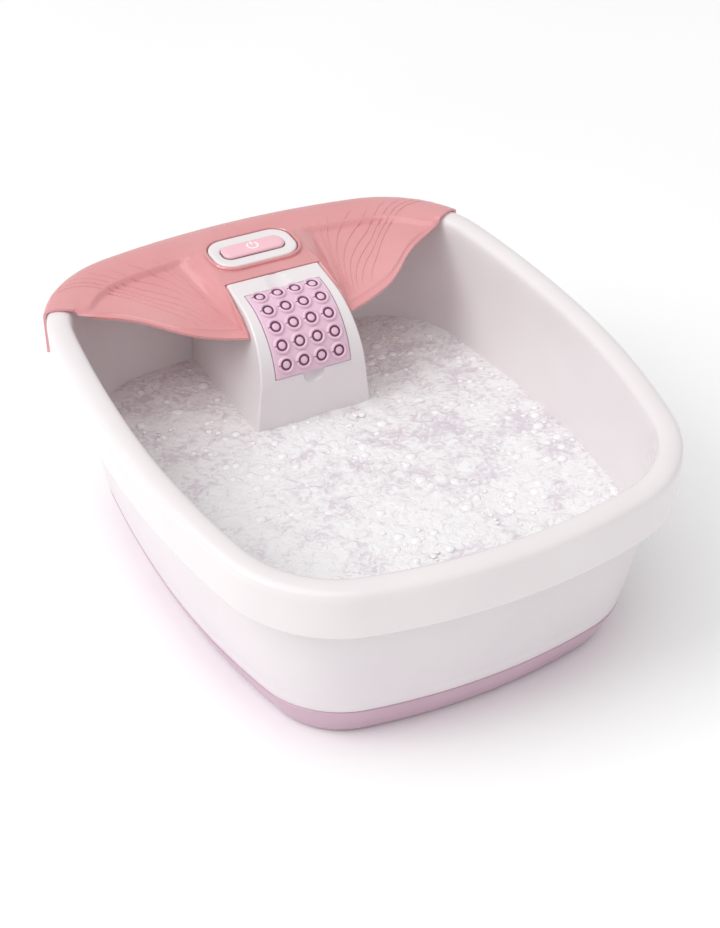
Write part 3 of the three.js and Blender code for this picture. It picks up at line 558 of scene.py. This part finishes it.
PAD_FROM, PAD_TO = math.radians(91), math.radians(171.5)
PAD_HALF = 28.8
bed = sector(45.5, 60, PAD_FROM - 0.018, PAD_TO + 0.018, PAD_HALF + 0.6, steps=30)
lower_notch = ball(10, (0, 62.6, 118), squash=(0.85, 0.6, 0.9))
upper_notch = ball(30, (0, 112.5, 190.3))
console = carve(console_block(), bed, lower_notch, upper_notch)
hump = hand_over("console_hump", console, [WHITE_ABS], ["basin_tub"], bevel=0.5,
                 sharp=30)
even = hump.modifiers.new("even shading", "WEIGHTED_NORMAL")
even.keep_sharp = True

# %% [markdown]
# ## The outer body and the base
# The body is a second white shell that tucks up under the apron. A shallow line runs round it
# just above the base, where the mould was split. The mauve base closes it from below and draws
# in towards the feet.

# %% Outer body
body_shell = shell([
    wall_loop(2, 1), wall_loop(2, 0.8), wall_loop(2, 0.5), wall_loop(2, 0.2), wall_loop(2, 0),
    rim_loop(13.2, 6 - APRON_DROP), rim_loop(11.2, 6 - APRON_DROP), wall_loop(0, 0),
    wall_loop(0, 0.25), wall_loop(0, 0.5), wall_loop(-0.1, 0.75), wall_loop(-0.1, 0.86),
    wall_loop(0.15, 0.875), wall_loop(0.2, 0.885), wall_loop(0, 0.9), wall_loop(0, 0.94),
    wall_loop(0.1, 0.985), wall_loop(0.6, 1),
], cap_start=False, cap_end=False)
hand_over("lower_body", body_shell, [BODY_ABS], ["outer_body"], sharp=40)

# %% Base tray
base = shell([
    flat_loop(60, 4, 0.4), flat_loop(60, 4), flat_loop(46.5, 4), flat_loop(44.3, 6),
    flat_loop(32.8, 28), flat_loop(31, 28), flat_loop(30.4, 27.4), flat_loop(31.6, 24.6),
    flat_loop(33.8, 20), flat_loop(37.6, 12), flat_loop(40.6, 6), flat_loop(42, 3.6),
    flat_loop(43, 2.3), flat_loop(44.6, 1.6), flat_loop(47, 1.5), flat_loop(60, 1.5),
    flat_loop(60, 1.5, 0.4),
])
FEET = [(-98, -100), (98, -100), (-98, 105), (98, 105)]
SCREWS = [(-55, -140), (55, -140), (-118, 5), (118, 5), (-62, 148), (62, 148)]
wells = []
for x, y in FEET:
    wells.append(turned([(0, 0), (9.4, 0), (9.4, 2.9), (0, 2.9)], x, y, steps=32))
for x, y in SCREWS:
    wells.append(turned([(0, 0), (5.2, 0), (5.2, 2.8), (2.1, 2.8), (2.1, 9), (0, 9)], x, y))
base = carve(base, *wells)
hand_over("base_tray", base, [MAUVE_ABS], ["base_pan"], sharp=35)

# %% Rubber feet
for number, (x, y) in enumerate(FEET, 1):
    foot = turned([
        (0, 0.5), (2.2, 0.5), (2.5, 0), (3.9, 0), (4.2, 0.5), (5.6, 0.5), (5.9, 0), (7.9, 0),
        (8.7, 0.4), (9, 1.1), (9, 2.3), (8.7, 2.6), (0, 2.6)], x, y, steps=40)
    hand_over(f"foot_{number}", foot, [RUBBER], [f"rubber_foot_{number}"])

# %% [markdown]
# ## The splash guard
# The guard is a thin translucent shell. Its outer strip hooks over the rim; inside it a small
# step leads into a funnel that drops towards the console, so splashes run back into the water.
# One cross-section is drawn as a line and extruded from station to station round the rear rim,
# then the sheet is given its wall. The raised lip round the switch and the fine ribs that fan
# over both wings are laid on it, as they are moulded into the real one.

# %% Guard stations
GUARD_EDGE = [                    # place on the rear quarter, then where the inner edge lies
    (4.42, 141.5, 137.5, 163.8, 0.0), (5, 130, 131.5, 162.9, 1.0), (6, 116.5, 124.8, 161.4, 2.5),
    (7, 102.5, 115, 159.6, 3.4), (8, 88, 102, 156.4, 3.8), (9, 73.5, 92.8, 152.6, 3.8),
    (10, 55, 87.6, 148.2, 3.8), (10.5, 46, 85.4, 146.9, 3.4), (10.7, 39.9, 83.2, 146.3, 3.0),
    (10.9, 39.1, 98, 155.2, 2.0), (11.1, 38.4, 113, 160.6, 1.0), (11.5, 37.6, 127.4, 165, 0.0),
    (12, 24, 127.4, 165.4, 0.0), (13, 0, 127.4, 165.5, 0.0),
]
GUARD_RIM = [(-2.2, -31), (-2.2, -16), (-2.2, -3), (-0.5, 0.7), (3.3, 2.5), (9, 3.1), (15, 2.7),
             (19, 2)]
WING_END = 7                      # rows of the table up to here lie on the smooth wing


def smooth_step(rows, i, f):
    """A curve through table rows: row i at f = 0 and row i + 1 at f = 1."""
    before, after = rows[max(i - 1, 0)], rows[min(i + 2, len(rows) - 1)]
    return tuple(0.5 * (2 * b + (c - a) * f + (2 * a - 5 * b + 4 * c - d) * f * f
                        + (3 * b - a - 3 * c + d) * f ** 3)
                 for a, b, c, d in zip(before, rows[i], rows[i + 1], after))


def guard_row(s):
    """The table's row at s, counted in rows."""
    i = min(int(s), len(GUARD_EDGE) - 2)
    f = s - i
    if i < WING_END:
        return smooth_step(GUARD_EDGE[:WING_END + 1], i, f)
    return tuple(a + (b - a) * f for a, b in zip(GUARD_EDGE[i], GUARD_EDGE[i + 1]))


def on_rear(inset, at):
    points = quarter(REAR, inset)
    place = at * FINE
    i = min(int(place), len(points) - 2)
    return points[i].lerp(points[i + 1], place - i)


RIM_CURVE = [smooth_step(GUARD_RIM, i, f / 3) for i in range(1, 7) for f in range(3)]
RIM_CURVE = [GUARD_RIM[0]] + RIM_CURVE + [GUARD_RIM[-1]]


def guard_section(s):
    """The guard's outer face at one station, from the skirt's foot to the inner edge."""
    at, x, y, z, step = guard_row(s)
    foot = on_rear(0, at)
    line = []
    for inset, rise in RIM_CURVE:
        p = on_rear(inset, at)
        line.append(Vector((p.x, p.y, rim_z(foot.y) + rise)))
    start, edge = line[-1], Vector((x, y, z))
    span = (edge - start).length
    first = min(10 / span, 0.35)
    second = min(first + 4.2 / span, 0.6)
    bead = min(7.5 / span, 0.22)
    wing = min(step / 3, 1)
    run = second - first
    funnel = 1 - 1.6 * bead - second
    places = ([first * f for f in (0.35, 0.7, 0.92)] + [first + run * f for f in
              (0.0, 0.15, 0.35, 0.65, 0.85, 1.0)] + [second + funnel * f for f in
              (0.12, 0.3, 0.5, 0.7, 0.9)] + [1 - bead * f for f in
              (1.45, 1.2, 1.1, 1.0, 0.9, 0.75, 0.5, 0.25, 0)])
    for t in places:
        if t < first:
            drop = step * 0.1 * t / first
        elif t < second:
            f = (t - first) / (second - first)
            drop = step * (0.1 + 0.9 * f * f * (3 - 2 * f))
        else:
            drop = step * (1 - (t - second) / (1 - second)) ** 1.1
        lift = wing * math.exp(-((1 - t - bead) * span / 1.3) ** 2)
        line.append(start.lerp(edge, t) + Vector((0, 0, lift - drop)))
    return line


def guard_point(s, t, lift=0.0):
    """A place on the guard's face: t runs from 0 on the outer skirt to 1 at the inner edge."""
    line = guard_section(s)
    gaps = [(b - a).length for a, b in zip(line, line[1:])]
    left = t * sum(gaps)
    for i, gap in enumerate(gaps):
        if left <= gap or i == len(gaps) - 1:
            return line[i].lerp(line[i + 1], min(left / gap, 1)) + Vector((0, 0, lift))
        left -= gap


stations = [i / 4 for i in range(4 * (len(GUARD_EDGE) - 1) + 1)]
print(len(stations), "stations for half of the guard")

# %% The guard's sheet
GUARD_T = 1.8
right_half = [guard_section(s) for s in stations]
left_half = [[Vector((-p.x, p.y, p.z)) for p in line] for line in reversed(right_half[:-1])]
guard = new_mesh()
start = first_line(guard, right_half[0])
through(guard, start, right_half[1:] + left_half)
bmesh.ops.recalc_face_normals(guard, faces=guard.faces)
crest = max(guard.faces, key=lambda f: f.calc_center_median().z)
if crest.normal.z < 0:
    bmesh.ops.reverse_faces(guard, faces=guard.faces)
bmesh.ops.solidify(guard, geom=list(guard.faces), thickness=GUARD_T)
top = max(v.co.z for v in guard.verts)
wanted_top = max(p.z for line in right_half for p in line)
print("top of the guard:", round(top, 2), "mm, wanted", round(wanted_top, 2))

# %% Rounded rectangles on the deck
TILT = math.atan(DECK_SLOPE)
BEZEL_Y = 160.3
DECK = (Matrix.Translation((0, BEZEL_Y, DECK_Z + (BEZEL_Y - NOTCH_Y) * DECK_SLOPE))
        @ Matrix.Rotation(TILT, 4, "X"))


def stadium(w, d, r, z, inset=0.0, crown=0.0):
    """A rounded rectangle on the deck. crown lowers its ends along a gentle arch."""
    r = max(r - inset, 0.2)
    w, d = w / 2 - inset - r, d / 2 - inset - r
    points = []
    for k, (sx, sy) in enumerate([(1, 1), (-1, 1), (-1, -1), (1, -1)]):
        for i in range(11):
            a = math.pi / 2 * (k + i / 10)
            x, y = sx * w + r * math.cos(a), sy * d + r * math.sin(a)
            points.append(Vector((x, y, z - crown * (2 * x / 64) ** 2)))
    return points


def on_deck(bm):
    bmesh.ops.transform(bm, matrix=DECK, verts=bm.verts)
    return bm


WINDOW = (65.6, 37.6, 14.8)       # width, depth and corner radius of the hole for the switch
window = on_deck(shell([stadium(*WINDOW, -8), stadium(*WINDOW, 14)]))
guard = carve(guard, window)
lip = on_deck(shell([
    stadium(66, 38, 15, 1.0), stadium(66, 38, 15, 4.1), stadium(67, 39, 15.5, 4.7),
    stadium(69, 41, 16.5, 4.7), stadium(70.4, 42.4, 17.2, 3.9), stadium(70.6, 42.6, 17.3, 1.0),
], cap_start=False, cap_end=False))
absorb(guard, lip)
print("the switch window is", WINDOW[0], "by", WINDOW[1], "mm")

# %% Ribs that fan over the wings


RIB_WIDE, RIB_HIGH = 0.5, 0.42    # half axes of a rib's oval section


def rib(path):
    """A fine rib of oval section, half sunk in the guard, through points on its face."""
    bm = new_mesh()
    loops = []
    for i, p in enumerate(path):
        ahead = (path[min(i + 1, len(path) - 1)] - path[max(i - 1, 0)]).normalized()
        across = ahead.cross(Vector((0, 0, 1))).normalized()
        up = across.cross(ahead)
        taper = min(1.0, 0.25 + 4 * i / len(path), 0.25 + 4 * (len(path) - 1 - i) / len(path))
        loops.append([p + taper * (across * RIB_WIDE * math.cos(a) + up * RIB_HIGH * math.sin(a))
                      for a in [k * math.tau / 8 for k in range(8)]])
    edges = first_loop(bm, loops[0])
    end = through(bm, edges, loops[1:])
    bmesh.ops.edgeloop_fill(bm, edges=edges)
    bmesh.ops.edgeloop_fill(bm, edges=end)
    return bm


RIBS = [(0.9, 5.5), (1.8, 5.9), (2.7, 6.2), (3.6, 6.5), (4.5, 6.8), (5.3, 7.1), (6.1, 7.35),
        (6.8, 7.6)]
rib_sheet = new_mesh()
for start_row, end_row in RIBS:
    path = []
    for i in range(25):
        f = i / 24
        row = start_row + (end_row - start_row) * (1 - (1 - f) ** 1.7)
        path.append(guard_point(row, 0.36 + 0.55 * f, 0.08))
    absorb(rib_sheet, rib(path))
bmesh.ops.mirror(rib_sheet, geom=list(rib_sheet.verts) + list(rib_sheet.edges)
                 + list(rib_sheet.faces), matrix=Matrix.Identity(4), axis="X", merge_dist=0.0)
absorb(guard, rib_sheet)
hand_over("splash_guard_shell", guard, [SALMON_CLEAR], ["splash_guard"], sharp=34)

# %% [markdown]
# ## The switch
# A glossy white ring frames a long pale pink push bar. Both are rounded rectangles extruded
# through a short profile, so every edge keeps a real radius. The power sign is printed on the
# bar: an open ring and a stroke.

# %% Ring round the switch
outer, inner = (64, 36, 14), (48.4, 16, 6.3)
ring_shell = on_deck(shell([
    stadium(*outer, 0.3), stadium(*outer, 3.3), stadium(*outer, 4.1, 0.3),
    stadium(*outer, 4.6, 1.1), stadium(*outer, 4.7, 2.2), stadium(*inner, 4.3, -1.8),
    stadium(*inner, 4.1, -0.9),
    stadium(*inner, 3.5, -0.2), stadium(*inner, 3.0), stadium(*inner, 0.3),
], cap_start=False, cap_end=False))
hand_over("switch_ring", ring_shell, [WHITE_ABS], ["switch_bezel"], sharp=50)

# %% Push bar with its power sign
bar = (47.4, 15, 5.8)
cap = on_deck(shell([
    stadium(*bar, 3.4, 0.3), stadium(*bar, 3.7), stadium(*bar, 4.9), stadium(*bar, 5.4, 0.25, 0.1),
    stadium(*bar, 5.8, 0.8, 0.15), stadium(*bar, 6.05, 1.7, 0.2), stadium(*bar, 6.15, 3, 0.2),
    stadium(*bar, 6.2, 5, 0.2),
]))
SPRING_WELL = 4.9
well = turned([(3.1, 3), (5, 3), (5, SPRING_WELL), (3.1, SPRING_WELL), (3.1, 3)], steps=20)
cap = carve(cap, on_deck(well))
absorb(cap, on_deck(turned([(0, -1), (2.6, -1), (2.6, 4.4), (0, 4.4)], steps=20)))
hand_over("push_bar", cap, [PINK_ABS], ["power_button"], body="button", sharp=45)

sign = new_mesh()
flat = first_line(sign, [Vector((3.3, 0, 6.0)), Vector((3.3, 0, 6.28)), Vector((4.5, 0, 6.28)),
                         Vector((4.5, 0, 6.0))])
bmesh.ops.rotate(sign, cent=(0, 0, 0), matrix=Matrix.Rotation(math.radians(126), 3, "Z"),
                 verts=sign.verts)
bmesh.ops.spin(sign, geom=list(sign.verts) + flat, cent=(0, 0, 0), axis=(0, 0, 1),
               angle=math.radians(288), steps=40, use_duplicate=False)
bmesh.ops.holes_fill(sign, edges=[e for e in sign.edges if e.is_boundary], sides=4)
stroke = shell([stadium(1.2, 4.4, 0.5, 6.0), stadium(1.2, 4.4, 0.5, 6.28)])
bmesh.ops.translate(stroke, vec=(0, 2.9, 0), verts=stroke.verts)
absorb(sign, stroke)
hand_over("power_sign", on_deck(sign), [PRINT_WHITE], ["power_button"],
          body="button", sharp=40)

# %% [markdown]
# ## The return spring
# A coil of steel wire stands round the button's stem, between the deck and a well in the bar. A
# circle spun with a rise at every step gives the coil, and its head stops just short of the well's
# roof. The coil rides on no body and is left where it stands.

# %% Return spring
COIL_R, WIRE_R, COIL_TURNS, COIL_LOW = 3.9, 0.35, 2.5, 0.4
COIL_STEPS, HEAD_GAP = 50, 0.05
coil_rise = SPRING_WELL - HEAD_GAP - COIL_LOW - 2 * WIRE_R
coil = new_mesh()
wire = bmesh.ops.create_circle(coil, cap_ends=False, segments=8, radius=WIRE_R)["verts"]
bmesh.ops.rotate(coil, verts=wire, matrix=Matrix.Rotation(math.pi / 2, 3, "X"))
bmesh.ops.translate(coil, verts=wire, vec=(COIL_R, 0, COIL_LOW + WIRE_R))
foot_ring = list(coil.edges)
spun = bmesh.ops.spin(coil, geom=wire + foot_ring, cent=(0, 0, 0), axis=(0, 0, 1),
                      steps=COIL_STEPS, dvec=(0, 0, coil_rise / COIL_STEPS),
                      angle=math.tau * COIL_TURNS)
head_ring = [e for e in spun["geom_last"] if isinstance(e, bmesh.types.BMEdge)]
bmesh.ops.edgeloop_fill(coil, edges=foot_ring)
bmesh.ops.edgeloop_fill(coil, edges=head_ring)
spring = hand_over("return_spring_coil", on_deck(coil), [STEEL], ["button_return_spring"],
                   body=None, sharp=60)
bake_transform(spring)

# %% [markdown]
# ## The massage pad
# The pad is a curved elastomer slab with twenty round nodes. The slab's cross-section is spun
# round the console's nose. A node is a low ring, a groove and a flat boss, turned in one
# profile. The groove's faces get a dark plum tint, made dark enough to paint the groove's shade.

# %% Pad slab
PAD_IN, PAD_OUT, PAD_CORNER = 45.9, 49.2, 0.9   # radii of the slab's faces, and of its edge


def slab_section(radius_in, radius_out, half, soften):
    """A rounded rectangle across the pad, as (x, radius)."""
    points = []
    middle, tall = (radius_in + radius_out) / 2, (radius_out - radius_in) / 2
    for sx, sy, start_angle in [(1, 1, 0), (-1, 1, 90), (-1, -1, 180), (1, -1, 270)]:
        for i in range(5):
            a = math.radians(start_angle + 90 * i / 4)
            points.append((sx * (half - soften) + soften * math.cos(a),
                           middle + sy * (tall - soften) + soften * math.sin(a)))
    return points


section = slab_section(PAD_IN, PAD_OUT, PAD_HALF, PAD_CORNER)
cuts = 36
slab_loops = []
for i in range(cuts + 1):
    angle = PAD_FROM + (PAD_TO - PAD_FROM) * i / cuts
    slab_loops.append([nose_point(r, angle, x) for x, r in section])
slab = shell(slab_loops)
print("pad slab:", round(math.degrees(PAD_TO - PAD_FROM), 1), "degrees round the nose")

# %% Nodes on the pad
NODE = [(6.3, -0.5), (6.3, 0.2), (6.1, 0.75), (5.7, 1.25), (5.2, 1.5), (4.75, 1.45), (4.35, 1.1),
        (4.05, 0.55), (3.9, 0.15), (2.85, 0.15), (2.65, 0.5), (2.35, 0.9), (1.5, 1.05), (0, 1.1)]
NODE_FROM, NODE_STEP = 97.6, 15.8   # degrees round the nose
PAINTED_SHADE_RADII = (2.6, 4.0)               # radii of the groove faces, which get the dark plum painted shade
nodes = new_mesh()
for row in range(5):
    angle = math.radians(NODE_FROM + NODE_STEP * row)
    for column in range(4):
        node = turned(NODE, steps=28)
        # Groove faces take the second material: dark plum that paints the groove's shade.
        for face in node.faces:
            middle = face.calc_center_median()
            face.material_index = int(PAINTED_SHADE_RADII[0] < math.hypot(middle.x, middle.y) < PAINTED_SHADE_RADII[1])
        tick = new_mesh()
        bmesh.ops.create_cube(tick, size=1.0)
        bmesh.ops.scale(tick, vec=(2.2, 0.55, 0.5), verts=tick.verts)
        bmesh.ops.translate(tick, vec=(-4.9, 0.2, 1.3), verts=tick.verts)
        for face in tick.faces:
            face.material_index = 1
        absorb(node, tick)
        seat = (Matrix.Translation(nose_point(49.2, angle, (column - 1.5) * 13.6))
                @ Matrix.Rotation(angle - math.pi / 2, 4, "X"))
        bmesh.ops.transform(node, matrix=seat, verts=node.verts)
        absorb(nodes, node)
absorb(slab, nodes)
hand_over("massage_pad_skin", slab, [LILAC_TPE, PLUM_AND_PAINTED_SHADE_TPE], ["massage_pad"],
          body="pad", sharp=60)

# %% [markdown]
# ## What stays as the CAD made it
# The blower, its motor, the air way and the rest of the switch works are right as they are. Each
# gets the finish of its real material.

# %% Finishes for the inner pieces
FINISH = {
    "switch_bracket": GREY_ABS, "switch_body": BLACK_NYLON,
    "switch_plunger": IVORY_POM, "bubble_strip_left": STRIP_LILAC,
    "bubble_strip_right": STRIP_LILAC, "floor_seal_left": RUBBER, "floor_seal_right": RUBBER,
    "air_manifold": GREY_ABS, "check_valve": IVORY_POM, "air_hose": HOSE_PVC,
    "blower_bracket": GREY_ABS, "blower_housing": GREY_ABS, "blower_cover": GREY_ABS,
    "impeller": IVORY_POM, "motor_shaft": STEEL, "rotor_core": LAMINATION, "stator": COPPER,
    "motor_can": STEEL, "motor_end_cap": STEEL, "upper_bush": BRASS, "lower_bush": BRASS,
    "control_board": BOARD_GREEN, "cord_gland": RUBBER,
}
FINISH.update({f"base_screw_{i}": STEEL for i in range(1, 7)})
for name, material in FINISH.items():
    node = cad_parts[name]
    for index in range(len(node.data.materials)):
        node.material_slots[index].material = material
print(len(FINISH), "inner pieces have their finish")

# %% [markdown]
# ## Water, floor and light
# The basin is shown in use, so a sheet of lively water stands in it. The water is part of the
# scene and not of the object. Its surface is a flat sheet with waves and small bubbles.

# %% Water
WATER_Z = 80.5
WATER_GAP = 4.2                   # from the wall's outer face to the water's edge
WAVES = [(34, 1.4), (12, 1.0), (5, 0.6)]   # length and height of each size of wave, mm
shore = []
for i, p in enumerate(outline(22, 0.45)):
    high = rim_z(p.y) - APRON_DROP
    t = (high - WATER_Z) / (high - BODY_FOOT_Z)
    edge_point = outline(WALL_IN + WALL_RUN * t + WATER_GAP, t)[i]
    shore.append(Vector((edge_point.x, edge_point.y, WATER_Z)))
water = new_mesh()
rings = [[Vector((p.x * s, p.y * s, WATER_Z)) for p in shore] for s in
         [1 - i / 70 for i in range(1, 69)]]
last = through(water, first_loop(water, shore), rings)
bmesh.ops.edgeloop_fill(water, edges=last)
for v in water.verts:
    calm = min(1.0, (1 - max(abs(v.co.x) / 152, abs(v.co.y) / 182)) * 8)
    wave = sum(noise.noise(v.co / length) * height for length, height in WAVES)
    v.co.z += wave * max(calm, 0.15)
bmesh.ops.recalc_face_normals(water, faces=water.faces)


def foam_material():
    """Churned water: white where bubbles crowd under the surface, greyer and lilac between."""
    material = bpy.data.materials.new("churned_water")
    material.use_nodes = True
    tree = material.node_tree
    tree.nodes.clear()
    place = add_node(tree, "ShaderNodeTexCoord")
    drift = add_node(tree, "ShaderNodeTexNoise", values={"Scale": per_mm(55), "Detail": 5.0,
                                                         "Distortion": 1.2},
                     links={"Vector": place.outputs["Object"]})
    swirl = add_node(tree, "ShaderNodeTexNoise", values={"Scale": per_mm(7), "Detail": 7.0,
                                                         "Distortion": 1.4},
                     links={"Vector": place.outputs["Object"]})
    cells = add_node(tree, "ShaderNodeTexVoronoi", values={"Scale": per_mm(5)},
                     links={"Vector": place.outputs["Object"]})
    both = add_node(tree, "ShaderNodeMath", settings={"operation": "ADD"})
    tree.links.new(drift.outputs["Fac"], both.inputs[0])
    tree.links.new(swirl.outputs["Fac"], both.inputs[1])
    tint = add_node(tree, "ShaderNodeValToRGB", links={"Fac": both.outputs["Value"]})
    tint.color_ramp.elements[0].position = 0.78
    tint.color_ramp.elements[0].color = linear("#DDD5DC")
    tint.color_ramp.elements[1].position = 1.0
    tint.color_ramp.elements[1].color = linear("#F2F0F1")
    waves = add_node(tree, "ShaderNodeBump", values={"Strength": 1.0, "Distance": 0.0016},
                     links={"Height": swirl.outputs["Fac"]})
    beads = add_node(tree, "ShaderNodeBump", values={"Strength": 0.4, "Distance": 0.0006},
                     links={"Height": cells.outputs["Distance"],
                            "Normal": waves.outputs["Normal"]})
    shader = add_node(tree, "ShaderNodeBsdfPrincipled",
                      values={"Roughness": 0.12, "IOR": 1.33, "Coat Weight": 0.4,
                              "Coat Roughness": 0.03},
                      links={"Base Color": tint.outputs["Color"],
                             "Normal": beads.outputs["Normal"]})
    add_node(tree, "ShaderNodeOutputMaterial", links={"Surface": shader.outputs["BSDF"]})
    return material


FOAM = foam_material()


def staged(name, bm, material):
    """An object of the scene that isn't part of the basin."""
    bmesh.ops.scale(bm, vec=(MM, MM, MM), verts=bm.verts)
    for face in bm.faces:
        face.smooth = True
    mesh = bpy.data.meshes.new(name)
    bm.to_mesh(mesh)
    bm.free()
    mesh.materials.append(material)
    thing = bpy.data.objects.new(name, mesh)
    bpy.context.scene.collection.objects.link(thing)
    return thing


staged("stage_water", water, FOAM)

# %% Bubbles on the water
random.seed(7)
BUBBLE = moulded("bubble_film", "#F6F4F5", "#F1EEF0", roughness=0.12, relief=0.0,
                 **{"IOR": 1.33, "Coat Weight": 0.5, "Coat Roughness": 0.03})
drop = bmesh.new()
bmesh.ops.create_uvsphere(drop, u_segments=9, v_segments=6, radius=1.0)
bubbles = new_mesh()
count = 0
while count < 620:
    x, y = random.uniform(-146, 146), random.uniform(-176, 172)
    if abs(x / 148) ** 3.2 + abs(y / 178) ** 3.2 > 1 or (abs(x) < 48 and y > 60):
        continue
    if noise.noise(Vector((x, y, 3)) / 40) < random.uniform(-0.5, 0.4):
        continue
    size = min(1.0 + random.expovariate(0.9), 4.6)
    one = drop.copy()
    bmesh.ops.transform(one, verts=one.verts,
                        matrix=Matrix.Translation((x, y, WATER_Z - 0.2 * size))
                        @ Matrix.Diagonal((size, size, 0.5 * size, 1)))
    absorb(bubbles, one)
    count += 1
drop.free()
staged("stage_bubbles", bubbles, BUBBLE)
print(count, "bubbles")

# %% Floor and lamps
floor_mesh = bmesh.new()
bmesh.ops.create_grid(floor_mesh, x_segments=1, y_segments=1, size=6000)
FLOOR_PAPER = moulded("pale_paper_sweep", "#FFFFFF", "#FDFDFD", roughness=0.9, relief=0.0,
                      cloud_mm=400)
staged("stage_floor", floor_mesh, FLOOR_PAPER)

world = bpy.data.worlds.new("soft_room")
world.use_nodes = True
world.node_tree.nodes["Background"].inputs["Color"].default_value = (1, 1, 1, 1)
world.node_tree.nodes["Background"].inputs["Strength"].default_value = 0.66
bpy.context.scene.world = world


def soft_lamp(name, place, aim, size, power):
    """A square soft box that gives white light."""
    lamp = bpy.data.lights.new(name, "AREA")
    lamp.shape = "SQUARE"
    lamp.size, lamp.energy = size, power
    holder = bpy.data.objects.new(name, lamp)
    holder.location = place
    holder.rotation_euler = (Vector(aim) - Vector(place)).to_track_quat("-Z", "Y").to_euler()
    bpy.context.scene.collection.objects.link(holder)


soft_lamp("lamp_left", (-1.3, 0.0, 1.35), (0, 0.05, 0.1), 0.9, 9.0)
sun = bpy.data.lights.new("lamp_high", "SUN")
sun.energy, sun.angle = 0.9, math.radians(70)
high = bpy.data.objects.new("lamp_high", sun)
high.rotation_euler = Vector((0.5, 0.05, -1)).to_track_quat("-Z", "Y").to_euler()
bpy.context.scene.collection.objects.link(high)
bpy.context.scene.view_settings.view_transform = "Standard"
print("lamps:", ", ".join(light.name for light in bpy.data.lights))
